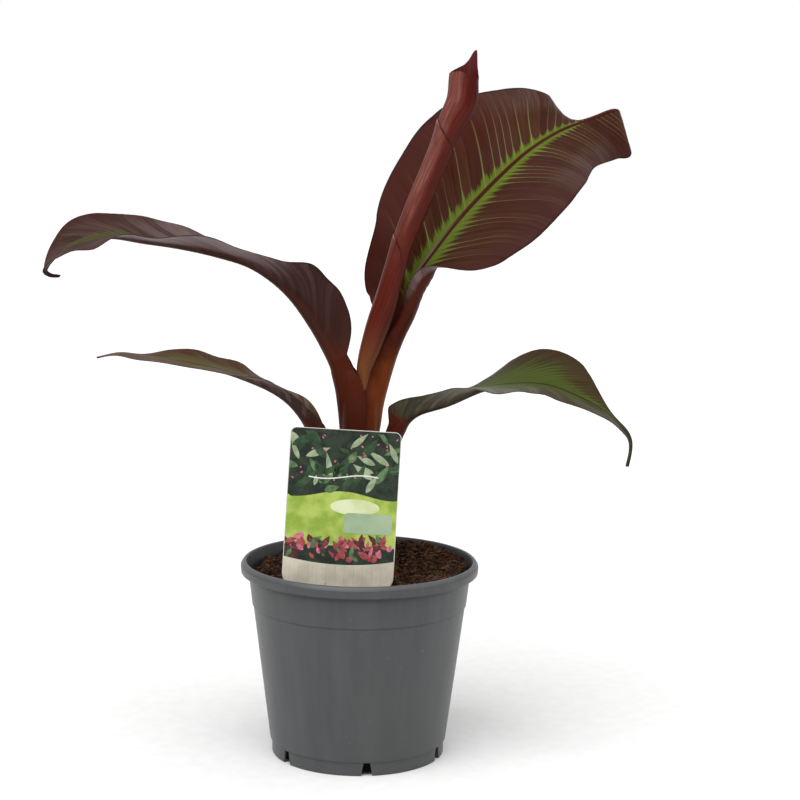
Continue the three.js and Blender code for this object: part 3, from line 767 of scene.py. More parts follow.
def roll_material():
    """The new leaf's back: red-brown and waxy, with faint lengthwise folds, painted shadow along the sheets'
    edges that turns to a pale pinkish painted highlight on the left, a painted sheen with glints on the front
    left and painted shade on the right.
    """
    paint = Paint("new_leaf_skin", roughness=0.3, specular=0.09, coat=0.05, coat_roughness=0.14)
    around, length = paint.attribute("around"), paint.attribute("leaf_length")
    slant = paint.plus(paint.times(around, 9.0), paint.times(length, 0.05))
    folds = paint.flat_noise(slant, 1.0, length, 0.02, 3.0, 0.6)
    hairs = paint.flat_noise(slant, 6.0, length, 0.1)
    glow = paint.flat_noise(slant, 0.7, length, 0.045, 3.0)
    clouds = paint.noise(paint.place(), 30.0, 3.0)
    # Painted sheen band on the roll's front left, on its upper part, broken by clouds
    sheen = paint.times(paint.band(around, 1.3, 2.0, 2.6, 3.2), paint.span(length, 95.0, 150.0, 0.0, 0.6),
                        paint.span(clouds, 0.36, 0.6, 0.45, 1.0))
    # Painted shadow along the sheets' edges, turning to a pale pinkish painted highlight on the roll's left
    margin = paint.layered(ROLL_EDGE_SHADOW, (ROLL_EDGE_HIGHLIGHT, around, 2.2, 2.9))
    colour = paint.layered(
        ROLL_DARK,
        (ROLL_LIGHT, folds, 0.32, 0.7),
        (ROLL_CLOUD, clouds, 0.4, 0.72, 0.6),
        # Painted sheen, then painted glints
        (ROLL_SHEEN, paint.times(sheen, paint.span(folds, 0.3, 0.55, 0.45, 1.0))),
        (ROLL_GLINT, paint.times(sheen, paint.span(glow, 0.46, 0.76, 0.0, 0.9))),
        # Painted shade on the roll's right side
        (ROLL_SHADE, around, 1.35, 0.5, 0.9),
        (ROLL_FOOT, length, 75.0, 15.0, 0.85),
        (ROLL_HAIR, hairs, 0.5, 0.8, 0.18),
        # Painted shadow and highlight along the sheets' edges
        (margin, paint.attribute("margin"), 1.4, 0.5))
    height = paint.plus(folds, paint.times(hairs, 0.3))
    return paint.finish(colour, paint.span(folds, 0.3, 0.7, 0.3, 0.46), paint.bump(height, 0.35, 0.0006))


def roll_inside_material():
    """The new leaf's hidden upper face, a deep red."""
    paint = Paint("new_leaf_inside", roughness=0.45, specular=0.2)
    streaks = paint.noise(paint.scaled(paint.place(), (400, 400, 60)), 1.0, 3.0)
    colour = paint.layered(ROLL_INSIDE[0], (ROLL_INSIDE[1], streaks, 0.3, 0.7))
    return paint.finish(colour, None, paint.bump(streaks, 0.3, 0.0003))


def pot_material():
    """Grey moulded plastic: a fine grain, faint flow marks up the wall, dust, small scuffs, painted shade
    under the lip and at the step, and a painted highlight on the rim's top.
    """
    paint = Paint("pot_plastic", roughness=0.45, specular=0.4)
    place = paint.place()
    height = paint.part(place, "Z")
    grain = paint.noise(place, 1500.0, 3.0)
    flow = paint.noise(paint.scaled(place, (60, 60, 7)), 1.0, 4.0, 0.6)
    scuffs = paint.noise(paint.scaled(place, (500, 500, 90)))
    # Masks of the painted shade under the lip and at the step
    lip_shade, step = (paint.band(height, *[z * METRES for z in heights]) for heights in (LIP_SHADE_BAND, STEP_SHADE_BAND))
    colour = paint.layered(
        POT_DARK,
        (POT_LIGHT, flow, 0.3, 0.7),
        (POT_CLOUD, paint.noise(place, 12.0, 3.0), 0.35, 0.7, 0.5),
        (POT_DUST, paint.noise(place, 420.0, 1.0), 0.74, 0.8, 0.45),
        # Painted shade under the rim's lip
        (POT_LIP_SHADE, paint.times(lip_shade, 0.72)),
        # Painted shade at the step in the wall
        (POT_STEP_SHADE, paint.times(step, 0.5)),
        # Painted highlight along the top of the rim
        (POT_RIM_HIGHLIGHT, height, *[z * METRES for z in RIM_HIGHLIGHT_BAND], 0.35))
    rough = paint.plus(paint.span(grain, 0.3, 0.7, 0.36, 0.46), paint.span(scuffs, 0.68, 0.76, 0.0, 0.12))
    return paint.finish(colour, rough, paint.bump(paint.plus(grain, flow), 0.16, 0.0003))


def soil_material(name, dark, light, grain_scale):
    """Peat in one of its browns, mottled and without gloss, with painted shade low down by the pot's foot."""
    paint = Paint(name, roughness=0.95, specular=0.12)
    place = paint.place()
    coarse = paint.noise(place, grain_scale, 4.0, 0.65)
    fine = paint.noise(place, grain_scale * 5, 3.0, 0.6)
    colour = paint.layered(
        dark,
        (light, coarse, 0.35, 0.68),
        (dark, fine, 0.55, 0.75, 0.5),
        # Painted shade on the low soil by the pot's foot
        (SOIL_FOOT_SHADE, paint.part(place, "Z"), 0.04, 0.02))
    return paint.finish(colour, None, paint.bump(paint.plus(coarse, fine), 0.7, 0.0012))


def print_material(name, dark, light, scale, rough=0.3):
    """One ink of the label, slightly uneven."""
    paint = Paint(name, roughness=rough, specular=0.5)
    dots = paint.noise(paint.place(), 2600.0, 1.0)
    colour = paint.layered(
        dark,
        (light, paint.noise(paint.place(), scale, 3.0), 0.35, 0.65),
        (dark, dots, 0.4, 0.7, 0.2))
    return paint.finish(colour, paint.span(dots, 0.3, 0.7, rough - 0.04, rough + 0.06))


# Pot

def rounded(corners, steps=6):
    """The outline through (x, y, fillet) corners, with each corner turned into an arc."""
    outline = []
    for k, (x, y, radius) in enumerate(corners):
        corner = np.array([x, y], float)
        if radius == 0:
            outline.append(corner)
            continue
        back = np.array(corners[k - 1][:2], float) - corner
        ahead = np.array(corners[k + 1][:2], float) - corner
        to_back, to_ahead = np.linalg.norm(back), np.linalg.norm(ahead)
        half_turn = math.acos(float(np.clip(back @ ahead / (to_back * to_ahead), -1, 1))) / 2
        cut = min(radius / math.tan(half_turn), to_back * 0.48, to_ahead * 0.48)
        start, end = corner + back / to_back * cut, corner + ahead / to_ahead * cut
        for f in np.arange(steps + 1) / steps:
            outline.append((1 - f) ** 2 * start + 2 * f * (1 - f) * corner + f * f * end)
    return outline


def turned_mesh(outline, segments):
    """A closed turned body from an outline that starts and ends on the axis."""
    inner = outline[1:-1]
    vertices = [(r * math.cos(a), r * math.sin(a), z) for r, z in inner for a in full_turn(segments)]
    faces = band_faces(len(inner), segments)
    first, last = len(vertices), len(vertices) + 1
    vertices += [(0, 0, outline[0][1]), (0, 0, outline[-1][1])]
    top = (len(inner) - 1) * segments
    for j in range(segments):
        k = (j + 1) % segments
        faces += [(first, k, j), (last, top + j, top + k)]
    return vertices, faces


def notch_mesh(turn):
    """A wedge that cuts one drain notch through the foot of the wall."""
    wide, narrow = NOTCH_BOTTOM_WIDTH / 2, NOTCH_TOP_WIDTH / 2
    profile = [(-wide, -1.0), (wide, -1.0), (narrow, NOTCH_HEIGHT), (-narrow, NOTCH_HEIGHT)]
    c, s = math.cos(turn), math.sin(turn)
    vertices = [(r * c - y * s, r * s + y * c, z)
                for r in (NOTCH_OUTER - NOTCH_REACH, NOTCH_OUTER + 2) for y, z in profile]
    faces = [(3, 2, 1, 0), (4, 5, 6, 7)] + [(k, (k + 1) % 4, (k + 1) % 4 + 4, k + 4) for k in range(4)]
    return vertices, faces


def build_pot():
    shell = mesh_object("pot_blank", *turned_mesh(rounded(POT_CORNERS), POT_SEGMENTS))
    cutters = []
    for n in range(NOTCH_COUNT):
        turn = math.radians(NOTCH_TURN + 360 / NOTCH_COUNT * n)
        cutters.append(mesh_object("notch", *notch_mesh(turn)))
        cut = shell.modifiers.new("notch", "BOOLEAN")
        cut.object = cutters[-1]
        cut.solver = "EXACT"
    graph = bpy.context.evaluated_depsgraph_get()
    mesh = bpy.data.meshes.new_from_object(shell.evaluated_get(graph))
    for thing in [shell, *cutters]:
        bpy.data.objects.remove(thing)
    vertices = [tuple(v.co / METRES) for v in mesh.vertices]
    faces = [tuple(p.vertices) for p in mesh.polygons]
    make_piece("pot_shell", vertices, faces, [pot_material()], ["pot"], sharp=32)


# Soil

def soil_relief(x, y):
    """Clods and hollows, from slow to quick waves."""
    total = np.zeros_like(x)
    rng = random.Random(SOIL_SEED)
    for wave, depth in SOIL_WAVES:
        for _ in range(3):
            turn = rng.uniform(0, 2 * math.pi)
            phase = rng.uniform(0, 2 * math.pi)
            along = x * math.cos(turn) + y * math.sin(turn)
            total += depth * np.sin(along * 2 * math.pi / wave + phase) / 1.7
    return total


def soil_surface(x, y):
    """Height of the soil: flat in the middle, rising to the rim on one side and dipping close to the wall."""
    radius = np.hypot(x, y)
    toward = 0.5 + 0.5 * np.cos(np.arctan2(y, x) - SOIL_RISE_AZIMUTH)
    rise = SOIL_RISE * smoothstep(SOIL_FLAT_RADIUS, SOIL_RIM_RADIUS, radius) * toward ** 1.5
    dip = SOIL_WALL_DIP * smoothstep(SOIL_RIM_RADIUS - SOIL_DIP_WIDTH, SOIL_RIM_RADIUS, radius)
    return SOIL_LEVEL + rise + soil_relief(x, y) - dip


def build_soil():
    azimuths = full_turn(SOIL_SEGMENTS)
    rings = [(radius, np.full(SOIL_SEGMENTS, height)) for radius, height in SOIL_FOOT]
    for n in range(SOIL_RINGS):
        radius = (SOIL_RIM_RADIUS - SOIL_WALL_GAP) * (1 - n / SOIL_RINGS)
        rings.append((radius, soil_surface(radius * np.cos(azimuths), radius * np.sin(azimuths))))
    vertices = [(radius * math.cos(a), radius * math.sin(a), z) for radius, heights in rings
                for a, z in zip(azimuths, heights)]
    last = (len(rings) - 1) * SOIL_SEGMENTS
    faces = band_faces(len(rings), SOIL_SEGMENTS)
    faces += [tuple(range(SOIL_SEGMENTS))[::-1], tuple(range(last, last + SOIL_SEGMENTS))]
    make_piece("soil_bed", vertices, faces, [soil_material("soil_dark", *BED_BROWN)], ["soil"])


def soil_spot(rng, margin):
    """A random place on the soil, kept out of the stem's foot and that far inside the rim."""
    while True:
        radius = (SOIL_RIM_RADIUS - margin) * math.sqrt(rng.random())
        azimuth = rng.uniform(0, 2 * math.pi)
        if radius > STEM_FOOT_RADIUS:
            return radius * math.cos(azimuth), radius * math.sin(azimuth)


def make_litter(name, pile, browns, sharp=None):
    """Makes a pile of small bodies on the soil into one piece in those browns."""
    materials = [soil_material(brown, *tones) for brown, tones in browns.items()]
    make_piece(name, pile.vertices, pile.faces, materials, kinds=pile.kinds, sharp=sharp)


def build_crumbs():
    """Clods of peat and bark chips that lie on the soil, in four browns."""
    rng = random.Random(CRUMB_SEED)
    least, spread, rarer = CRUMB_SIZE
    ball = bmesh.new()
    bmesh.ops.create_icosphere(ball, subdivisions=1, radius=1.0)
    shape = np.array([tuple(v.co) for v in ball.verts])
    triangles = [[v.index for v in f.verts] for f in ball.faces]
    ball.free()
    pile = Pile()
    for n in range(CRUMB_COUNT + CHIP_COUNT):
        chip = n >= CRUMB_COUNT
        x, y = soil_spot(rng, 2.0)
        size = rng.uniform(*CHIP_SIZE) if chip else least + spread * rng.random() ** rarer
        stretch = [rng.uniform(0.7, 1.4), rng.uniform(0.6, 1.0), 0.3 if chip else rng.uniform(0.5, 0.9)]
        jitter = np.array([1 + rng.uniform(-0.35, 0.35) for _ in shape])
        turn = Matrix.Rotation(rng.uniform(0, 6.28), 3, "Z") @ Matrix.Rotation(rng.uniform(-0.7, 0.7), 3, "X")
        height = float(soil_surface(np.array(x), np.array(y))) + size * rng.uniform(0.05, 0.4)
        points = (shape * jitter[:, None] * stretch * size) @ np.array(turn).T + [x, y, height]
        pile.add(points.tolist(), triangles, 3 if chip else rng.choice((0, 0, 1, 1, 2)))
    make_litter("soil_crumbs", pile, CRUMB_BROWNS, sharp=50)


def tube(points, radius, sides=4):
    """A thin closed tube with tapered ends along a short line of points."""
    points = np.asarray(points, float)
    along = unit(np.gradient(points, axis=0), TINY)
    side = unit(np.cross(along, TUBE_SIDEWAYS), TINY)
    other = np.cross(along, side)
    radii = radius * (0.35 + 0.65 * np.sin(math.pi * np.linspace(0, 1, len(points))) ** 0.5)
    vertices = [points[k] + radii[k] * (math.cos(a) * side[k] + math.sin(a) * other[k])
                for k in range(len(points)) for a in full_turn(sides)]
    return vertices, ring_faces(len(points), sides)


def fibre_line(rng, x, y):
    """Points of one fibre that curls over the soil or, now and then, stands up from it."""
    heading = rng.uniform(0, 2 * math.pi)
    stands = rng.random() < STANDING_SHARE
    step = rng.uniform(*(STANDING_LENGTH if stands else FIBRE_LENGTH)) / FIBRE_STEPS
    stride = step * 0.5 if stands else step
    points = []
    for k in range(FIBRE_STEPS + 1):
        if stands:
            lift = 0.2 + k * step * 0.55
        else:
            lift = 0.5 + 1.3 * math.sin(math.pi * k / FIBRE_STEPS) * rng.uniform(0.5, 1.0)
        points.append((x, y, float(soil_surface(np.array(x), np.array(y))) + lift))
        heading += rng.uniform(-0.55, 0.55)
        x += stride * math.cos(heading)
        y += stride * math.sin(heading)
        if math.hypot(x, y) > SOIL_RIM_RADIUS - 1.5:
            break
    return points


def build_fibres():
    """Coir and root fibres. Those that would leave the pot too soon are left out."""
    rng = random.Random(FIBRE_SEED)
    pile = Pile()
    for _ in range(FIBRE_COUNT):
        points = fibre_line(rng, *soil_spot(rng, 4.0))
        if len(points) > 3:
            body, faces = tube(points, rng.uniform(*FIBRE_RADIUS))
            pile.add(body, faces, rng.choice((0, 0, 1, 2)))
    make_litter("soil_fibres", pile, FIBRE_BROWNS)


# Label

def arc_points(x, y, radius, start, end, steps=10):
    angles = np.radians(np.linspace(start, end, steps + 1))
    return [(x + radius * math.cos(a), y + radius * math.sin(a)) for a in angles]


def rounded_box(left, low, right, high, radius, low_radius):
    return (arc_points(right - low_radius, low + low_radius, low_radius, -90, 0)
            + arc_points(right - radius, high - radius, radius, 0, 90)
            + arc_points(left + radius, high - radius, radius, 90, 180)
            + arc_points(left + low_radius, low + low_radius, low_radius, 180, 270))


def label_outline():
    half, stake = LABEL_WIDTH / 2, STAKE_WIDTH / 2
    shoulder = STAKE_WIDTH - STAKE_LENGTH
    return rounded_box(-half, 0, half, LABEL_HEIGHT, LABEL_CORNER, LABEL_FOOT_CORNER) + [
        (-stake, 0), (-stake, shoulder), (0, -STAKE_LENGTH), (stake, shoulder), (stake, 0)]


def slab(outline, low, high):
    """A flat closed plate with that outline between two heights over the label's middle plane."""
    count = len(outline)
    vertices = [(x, y, z) for z in (low, high) for x, y in outline]
    faces = [tuple(range(count))[::-1], tuple(range(count, 2 * count))]
    faces += [(k, (k + 1) % count, (k + 1) % count + count, k + count) for k in range(count)]
    return vertices, faces


def leaf_outline(x, y, length, width, turn, steps=9):
    """A plain pointed leaf shape that starts at (x, y) and points along turn."""
    shares = np.linspace(0, 1, steps)
    bulge = width / 2 * np.sin(math.pi * shares ** 0.8)
    ahead = [(length * s, -b) for s, b in zip(shares, bulge)]
    back = [(px, -py) for px, py in ahead[-2:0:-1]]
    c, s = math.cos(turn), math.sin(turn)
    return [(x + px * c - py * s, y + px * s + py * c) for px, py in ahead + back]


def straight(a, b, c):
    """Whether c adds nothing but length, or a way back, to the line from a to b."""
    return abs((b[0] - a[0]) * (c[1] - b[1]) - (b[1] - a[1]) * (c[0] - b[0])) < 1e-6


def clip_box(outline, left, low, right, high):
    """The outline pressed into a box, without the points that then lie on one line."""
    kept = []
    for x, y in outline:
        point = (min(max(x, left), right), min(max(y, low), high))
        while len(kept) > 1 and straight(kept[-2], kept[-1], point):
            kept.pop()
        if point not in kept[-1:]:
            kept.append(point)
    return kept


def scattered_leaves(rng, count, layer, inks, box, *spans):
    """Leaf shapes pressed into a box, on four layers, with place, turn and size drawn from the spans."""
    shapes = []
    for n in range(count):
        x, y, turn, length, width = [rng.uniform(*span) for span in spans]
        outline = clip_box(leaf_outline(x, y, length, width, turn), *box)
        shapes.append((outline, layer + n % 4, rng.choice(inks)))
    return shapes


def label_shapes():
    """The generic print: shapes as outline, layer and ink."""
    half = LABEL_WIDTH / 2 - PRINT_BORDER
    low, high = PRINT_BORDER, LABEL_HEIGHT - PRINT_BORDER
    foot = LABEL_FOOT_CORNER - PRINT_BORDER
    rng = random.Random(PRINT_SEED)
    shapes = [(rounded_box(-half, low, half, high, LABEL_CORNER - PRINT_BORDER, foot), 1, "deep_green")]
    horizon = [(x, LAWN_TOP + 2.5 * math.cos(x / 11)) for x in np.linspace(half, -half, 30)[1:-1]]
    lawn = [(-half, RED_TOP - 10), (half, RED_TOP - 10), (half, LAWN_TOP - 2)]
    shapes.append((lawn + horizon + [(-half, LAWN_TOP - 1)], 2, "lawn"))
    shapes.append(([(9 + 17 * math.cos(a), 57 + 5.5 * math.sin(a)) for a in full_turn(39)], 3, "glow"))
    shapes += scattered_leaves(
        rng, BACKDROP_LEAVES, 3, ("leaf_dark", "leaf_dark", "leaf_mid", "leaf_pale"),
        (-half, LAWN_TOP - 4, half, high - 1.5),
        (-half, half), (LAWN_TOP + 2, high - 8), (0.2, 2.9), (9, 19), (3, 6))
    for _ in range(BLOSSOMS):
        x, y = rng.uniform(-half + 2, half - 2), rng.uniform(LAWN_TOP + 9, high - 3)
        shapes.append((leaf_outline(x, y, rng.uniform(1.2, 2.6), 1.1, rng.uniform(0, 3)), 8, "pink"))
    shapes += scattered_leaves(
        rng, RED_LEAVES, 4, ("red", "red", "maroon", "pink", "leaf_mid"),
        (-half, STRIP_TOP - 4, half, RED_TOP + 3),
        (-half, half - 4), (STRIP_TOP - 3, RED_TOP - 7), (0.3, 2.8), (5, 10), (2.4, 4.6))
    shapes.append((rounded_box(2, RED_TOP - 1, half - 2.5, RED_TOP + 13, 3, 3), 9, "panel"))
    line = [(x, LAWN_TOP + 12 + 1.6 * math.sin(x / 9)) for x in np.linspace(-24, 24, 30)]
    shapes.append((line + [(x, y + 0.8) for x, y in line[::-1]], 9, "white"))
    strip = arc_points(-half + foot, low + foot, foot, 180, 270)
    strip += arc_points(half - foot, low + foot, foot, -90, 0)
    strip += [(x, STRIP_TOP - 5 + 4 * (x / half) ** 2) for x in np.linspace(half, -half, 30)]
    shapes.append((strip, 10, "cream"))
    for n in range(STRIP_LINES):
        left = -half + STRIP_LINE_STEP * (n + 0.7)
        right, bottom, top = left + STRIP_LINE_WIDTH, low + 3, STRIP_TOP - 5.4
        shapes.append(([(left, bottom), (right, bottom), (right, top), (left, top)], 11, "line"))
    return shapes


def build_label():
    lean = Matrix.Rotation(math.pi / 2 - LABEL_LEAN, 4, "X")
    turn = np.array(Matrix.Translation(LABEL_FOOT) @ lean @ Matrix.Rotation(LABEL_ROLL, 4, "Z"))
    face = LABEL_THICKNESS / 2
    pile = Pile()
    ink_names = list(INKS)
    for outline, layer, ink in label_shapes():
        pile.add(*slab(outline, face - 0.1, face + PRINT_LAYER * layer), ink_names.index(ink))
    card_vertices, card_faces = slab(label_outline(), -face, face)
    card = print_material("card_white", *CARD_WHITE, rough=0.32)
    inks = [print_material(f"ink_{name}", *tones) for name, tones in INKS.items()]
    for name, vertices, faces, materials, nodes, kinds in (
            ("label_card", card_vertices, card_faces, [card], ["plant_label"], None),
            ("label_print", pile.vertices, pile.faces, inks, [], pile.kinds)):
        placed = np.asarray(vertices, float) @ turn[:3, :3].T + turn[:3, 3]
        make_piece(name, placed, faces, materials, nodes, kinds, sharp=30)


# Stem

def build_stem_core(material):
    rows, sides = STEM_ROWS, STEM_SIDES
    length = smooth_spine(STEM_SPINE)[1][-1]
    shares = np.linspace(0, 1, rows)
    place, across, up = spine_frames(STEM_SPINE, 90, shares * length)
    angles = full_turn(sides, 0.5)
    closing = np.sqrt(np.clip(1 - smoothstep(0.93, 1.0, shares) * 0.9, 0, 1))
    wide = (keyed(STEM_WIDE, shares) - STEM_CORE_INSET) * closing
    deep = (keyed(STEM_DEEP, shares) - STEM_CORE_INSET) * closing
    ridge = 1 + 0.012 * np.sin(5 * angles + 0.8) + 0.008 * np.sin(11 * angles)
    vertices = [place[k] + wide[k] * r * math.cos(a) * across[k] + deep[k] * r * math.sin(a) * up[k]
                for k in range(rows) for a, r in zip(angles, ridge)]
    faces = [face[::-1] for face in ring_faces(rows, sides)]
    attributes = {"leaf_side": np.tile(angles * STEM_PATTERN_RADIUS, rows),
                  "leaf_length": np.repeat(shares * length, sides),
                  # Painted orange glow, strongest on the stem's right side, where the light falls
                  "warm": 0.5 + 0.4 * np.cos(np.tile(angles, rows))}
    make_piece("pseudostem_core", vertices, faces, [material], ["pseudostem"], attributes=attributes)


# Fronds

def frond_rows(frond):
    """The rows' lengths from the blade's start, the stalk's and the blade's length, and the spine frames."""
    points = frond["stalk"]["spine"] + frond["spine"]
    curve, lengths = smooth_spine(points)
    near_start = np.linalg.norm(curve - np.array(frond["spine"][0], float), axis=1)
    blade_start = lengths[int(np.argmin(near_start))]
    at = np.linspace(0, lengths[-1], int(lengths[-1] / ROW_STEP) + 1)
    blade_length = lengths[-1] - blade_start
    return at - blade_start, blade_start, blade_length, *spine_frames(points, frond["heading"], at)


def frond_values(frond, run, stalk_length, blade_length):
    """Every keyed value of a frond at its rows, with the stalk's values passing into the blade's."""
    stalk = frond["stalk"]
    stalk_t = (run + stalk_length) / stalk_length
    blade_t = run / blade_length
    into_blade = smoothstep(-frond["join"], 4.0, run)

    def joined(stalk_keys, blade_keys):
        return keyed(stalk_keys, stalk_t) * (1 - into_blade) + keyed(blade_keys, blade_t) * into_blade

    values = {key: joined(stalk.get(key, [0, 0]), frond.get(key, [0, 0]))
              for key in ("radius", "rib", "roll")}
    values["wall"] = keyed(stalk["wall"], stalk_t) * (1 - into_blade) + BLADE_WALL * into_blade
    values["into_blade"] = into_blade
    for half in ("left", "right"):
        keys = frond[half]
        values[half] = {
            "width": np.maximum(joined(stalk["reach"], keys["width"]), TIP_HALF_WIDTH),
            "fold": np.radians(joined(stalk["fold"], keys["fold"])),
            "curl": np.radians(keyed(keys["curl"], blade_t) * into_blade),
        }
    return values


def half_profile(values, k, half, shares):
    """One half's section from the groove outwards: its points, face normals and reach, in its own plane."""
    width, fold, curl = (values[half][key][k] for key in ("width", "fold", "curl"))
    reach = shares * width
    bent = reach / (max(abs(fold), 0.02) * max(values["radius"][k], 0.3))
    turn = fold * bent / (1 + bent ** 3) ** (1 / 3) + curl * (shares - 0.5) * smoothstep(0.0, 0.25, shares)
    steps = np.diff(reach)
    middle = (turn[1:] + turn[:-1]) / 2
    x = np.concatenate([[0], np.cumsum(steps * np.cos(middle))])
    y = np.concatenate([[0], np.cumsum(steps * np.sin(middle))])
    mirror = np.array([-1 if half == "left" else 1, 1])
    return np.stack([x, y], 1) * mirror, np.stack([-np.sin(turn), np.cos(turn)], 1) * mirror, reach


def frond_section(frond, values, k, run, shares, share):
    """One row's upper and lower points in its own plane, and each point's signed reach and vein phase."""
    right, right_normal, right_reach = half_profile(values, k, "right", shares)
    left, left_normal, left_reach = half_profile(values, k, "left", shares)
    section = np.concatenate([left[::-1], right[1:]])
    normal = np.concatenate([left_normal[::-1], right_normal[1:]])
    normal[HALF_COLUMNS] = left_normal[0] + right_normal[0]
    normal = unit(normal)
    signed = np.concatenate([-left_reach[::-1], right_reach[1:]])
    distance = np.abs(signed)

    def by_half(left_value, right_value):
        return np.where(signed < 0, left_value, right_value)

    foot_run = run[k] - by_half(*frond["sweep"]) * distance * (1 - 0.25 * share ** 3)
    drift = VEIN_DRIFT * wobble(foot_run / DRIFT_LENGTH, frond["seed"] + 5)
    phase = foot_run / by_half(*frond["pitch"]) + drift + by_half(LEFT_PHASE, RIGHT_PHASE)
    relief = VEIN_RELIEF * np.cos(2 * math.pi * phase) * smoothstep(2, 8, distance) * (1 - 0.7 * share ** 4)
    wave = frond["waves"] * share ** 2 * wobble(run[k] / WAVE_LENGTH + np.sign(signed) * 2.2, frond["seed"])
    swell = SWELL * share * wobble(run[k] / SWELL_LENGTH + signed / SWELL_WIDTH, frond["seed"] + 1)
    lift = (relief + wave + swell) * values["into_blade"][k]
    wall, rib = values["wall"][k], values["rib"][k]
    widths = by_half(values["left"]["width"][k], values["right"]["width"][k])
    edge = np.clip((widths - distance) / (0.5 * wall + 0.3), 0, 1)
    thick = EDGE_WALL + (wall - EDGE_WALL) * np.sqrt(1 - (1 - edge) ** 2)
    keel = rib * np.clip(1 - (distance / (rib * 1.15 + 1.5)) ** 2, 0, 1) ** 1.2
    top = section + normal * lift[:, None]
    return top, top - normal * (thick + keel)[:, None], signed, phase


def frond_attributes(frond, values, run, stalk_length, blade_length, share, side, phase):
    """What the materials read at each point, for rings that run over the upper face and back under it."""
    size = 2 * side.shape[1]
    share_grid = np.tile(share, (len(run), 1))

    def both(upper, under=None):
        return np.concatenate([upper, (upper if under is None else under)[:, ::-1]], 1).reshape(-1)

    def by_row(row):
        return np.repeat(row, size)

    def sheen_grid(face):
        left, right = (keyed(keys, run / blade_length)[:, None] for keys in frond["painted_sheen"][face])
        return np.where(side < 0, left, right) * outer

    outer = smoothstep(frond["sheen_from"], frond["sheen_from"] + 0.3, share_grid)
    stalky = 1 - smoothstep(0.0, 1.0, (run[:, None] + 2) / (frond["stalky"] * (1 - 0.65 * share_grid)))
    # Painted orange glow of the stalk, from its rib to its margin, fading out below the blade
    glow_rib, glow_margin = frond["warm"]
    warm = (glow_rib + (glow_margin - glow_rib) * share_grid) * (1 - smoothstep(*GLOW_FADE, run))[:, None]
    return {
        "leaf_side": both(side), "leaf_share": both(share_grid), "vein_phase": both(phase),
        "leaf_length": by_row(run + stalk_length),
        "green_zone": by_row(keyed(frond["zone"], run / blade_length) * (run > 0)),
        "stalky": both(stalky), "warm": both(warm),
        "groove": by_row(keyed(frond["groove"], run / blade_length)),
        "keel": by_row(values["rib"] * KEEL_SPREAD - KEEL_LOSS),
        # How much pale painted sheen lies on each face
        "painted_sheen": both(sheen_grid("upper"), sheen_grid("under")),
    }


def frond_rings(frond, values, run, frames, shares, share):
    """A ring of points at each row, over the upper face and back under it, and the sides and phases on it."""
    place, across, up = frames
    rings = np.zeros((len(run), 2 * len(share), 3))
    side, phase = np.zeros((2, len(run), len(share)))
    for k in range(len(run)):
        roll = math.radians(values["roll"][k])
        e_x = across[k] * math.cos(roll) + up[k] * math.sin(roll)
        e_y = up[k] * math.cos(roll) - across[k] * math.sin(roll)
        top, bottom, side[k], phase[k] = frond_section(frond, values, k, run, shares, share)
        ring = np.concatenate([top, bottom[::-1]])
        rings[k] = place[k] + np.outer(ring[:, 0], e_x) + np.outer(ring[:, 1], e_y)
    return rings.reshape(-1, 3), side, phase


def build_frond(name, frond, stalk_skin, leaf_skins):
    """One surface from soil to tip, cut into a stalk, a blade and, where it wraps the stem, a sheath."""
    run, stalk_length, blade_length, *frames = frond_rows(frond)
    values = frond_values(frond, run, stalk_length, blade_length)
    shares = (1 - np.cos(math.pi * np.linspace(0, 1, HALF_COLUMNS + 1))) / 2
    share = np.concatenate([shares[::-1], shares[1:]])
    flat, side, phase = frond_rings(frond, values, run, frames, shares, share)
    rows, columns = side.shape
    size = 2 * columns
    normals = vertex_normals(flat, ring_faces(rows, size))
    attributes = frond_attributes(frond, values, run, stalk_length, blade_length, share, side, phase)
    wraps_stem = frond["stalk"]["fold"][0] > 90
    stem_row = int(np.argmax(frames[0][:, 2] > STEM_SPLIT_Z)) if wraps_stem else 0
    blade_row = int(np.argmax(run > 0))
    parts = [(f"stalk_{name}", stem_row, blade_row, [stalk_skin], "stem", [f"petiole_{name}"]),
             (f"leaf_{name}", blade_row, rows - 1, leaf_skins, "leaf", frond["nodes"])]
    if stem_row:
        parts.append((f"sheath_{name}", 0, stem_row, [stalk_skin], "stem", []))
    for part_name, first, last, materials, slot, nodes in parts:
        chosen = slice(first * size, (last + 1) * size)
        faces = ring_faces(last - first + 1, size)
        kinds = None
        if len(materials) > 1:
            around = [0] * (columns - 1) + [1] * (columns + 1)
            kinds = around * (last - first) + [1] * (len(faces) - (last - first) * size)
        make_piece(part_name, flat[chosen], faces, materials, nodes, kinds,
                   {key: column[chosen] for key, column in attributes.items()}, normals=normals[chosen])


def build_fronds():
    stalk_skin = stalk_material()
    build_stem_core(stalk_skin)
    for name, frond in FRONDS.items():
        upper, under = LEAF_PAINTS[name]
        leaf_skins = [upper_material(f"upper_{name}", **upper), under_material(f"under_{name}", **under)]
        build_frond(name, frond, stalk_skin, leaf_skins)


# Rolled leaf

def sheet_solid(columns, rows):
    """Faces of a thin body made of an outer grid followed by an inner grid, closed round its four edges."""
    inner = columns * rows
    faces, kinds = [], []
    for n in range(columns - 1):
        for k in range(rows - 1):
            a = n * rows + k
            b = a + rows
            faces.append((a, b, b + 1, a + 1))
            faces.append((inner + a, inner + a + 1, inner + b + 1, inner + b))
            kinds.extend([0, 1])
    rim = ([n * rows for n in range(columns)] + [(columns - 1) * rows + k for k in range(1, rows)]
           + [n * rows + rows - 1 for n in range(columns - 2, -1, -1)] + [k for k in range(rows - 2, 0, -1)])
    for a, b in zip(rim, rim[1:] + rim[:1]):
        faces.append((a, inner + a, inner + b, b))
        kinds.append(0)
    return faces, kinds


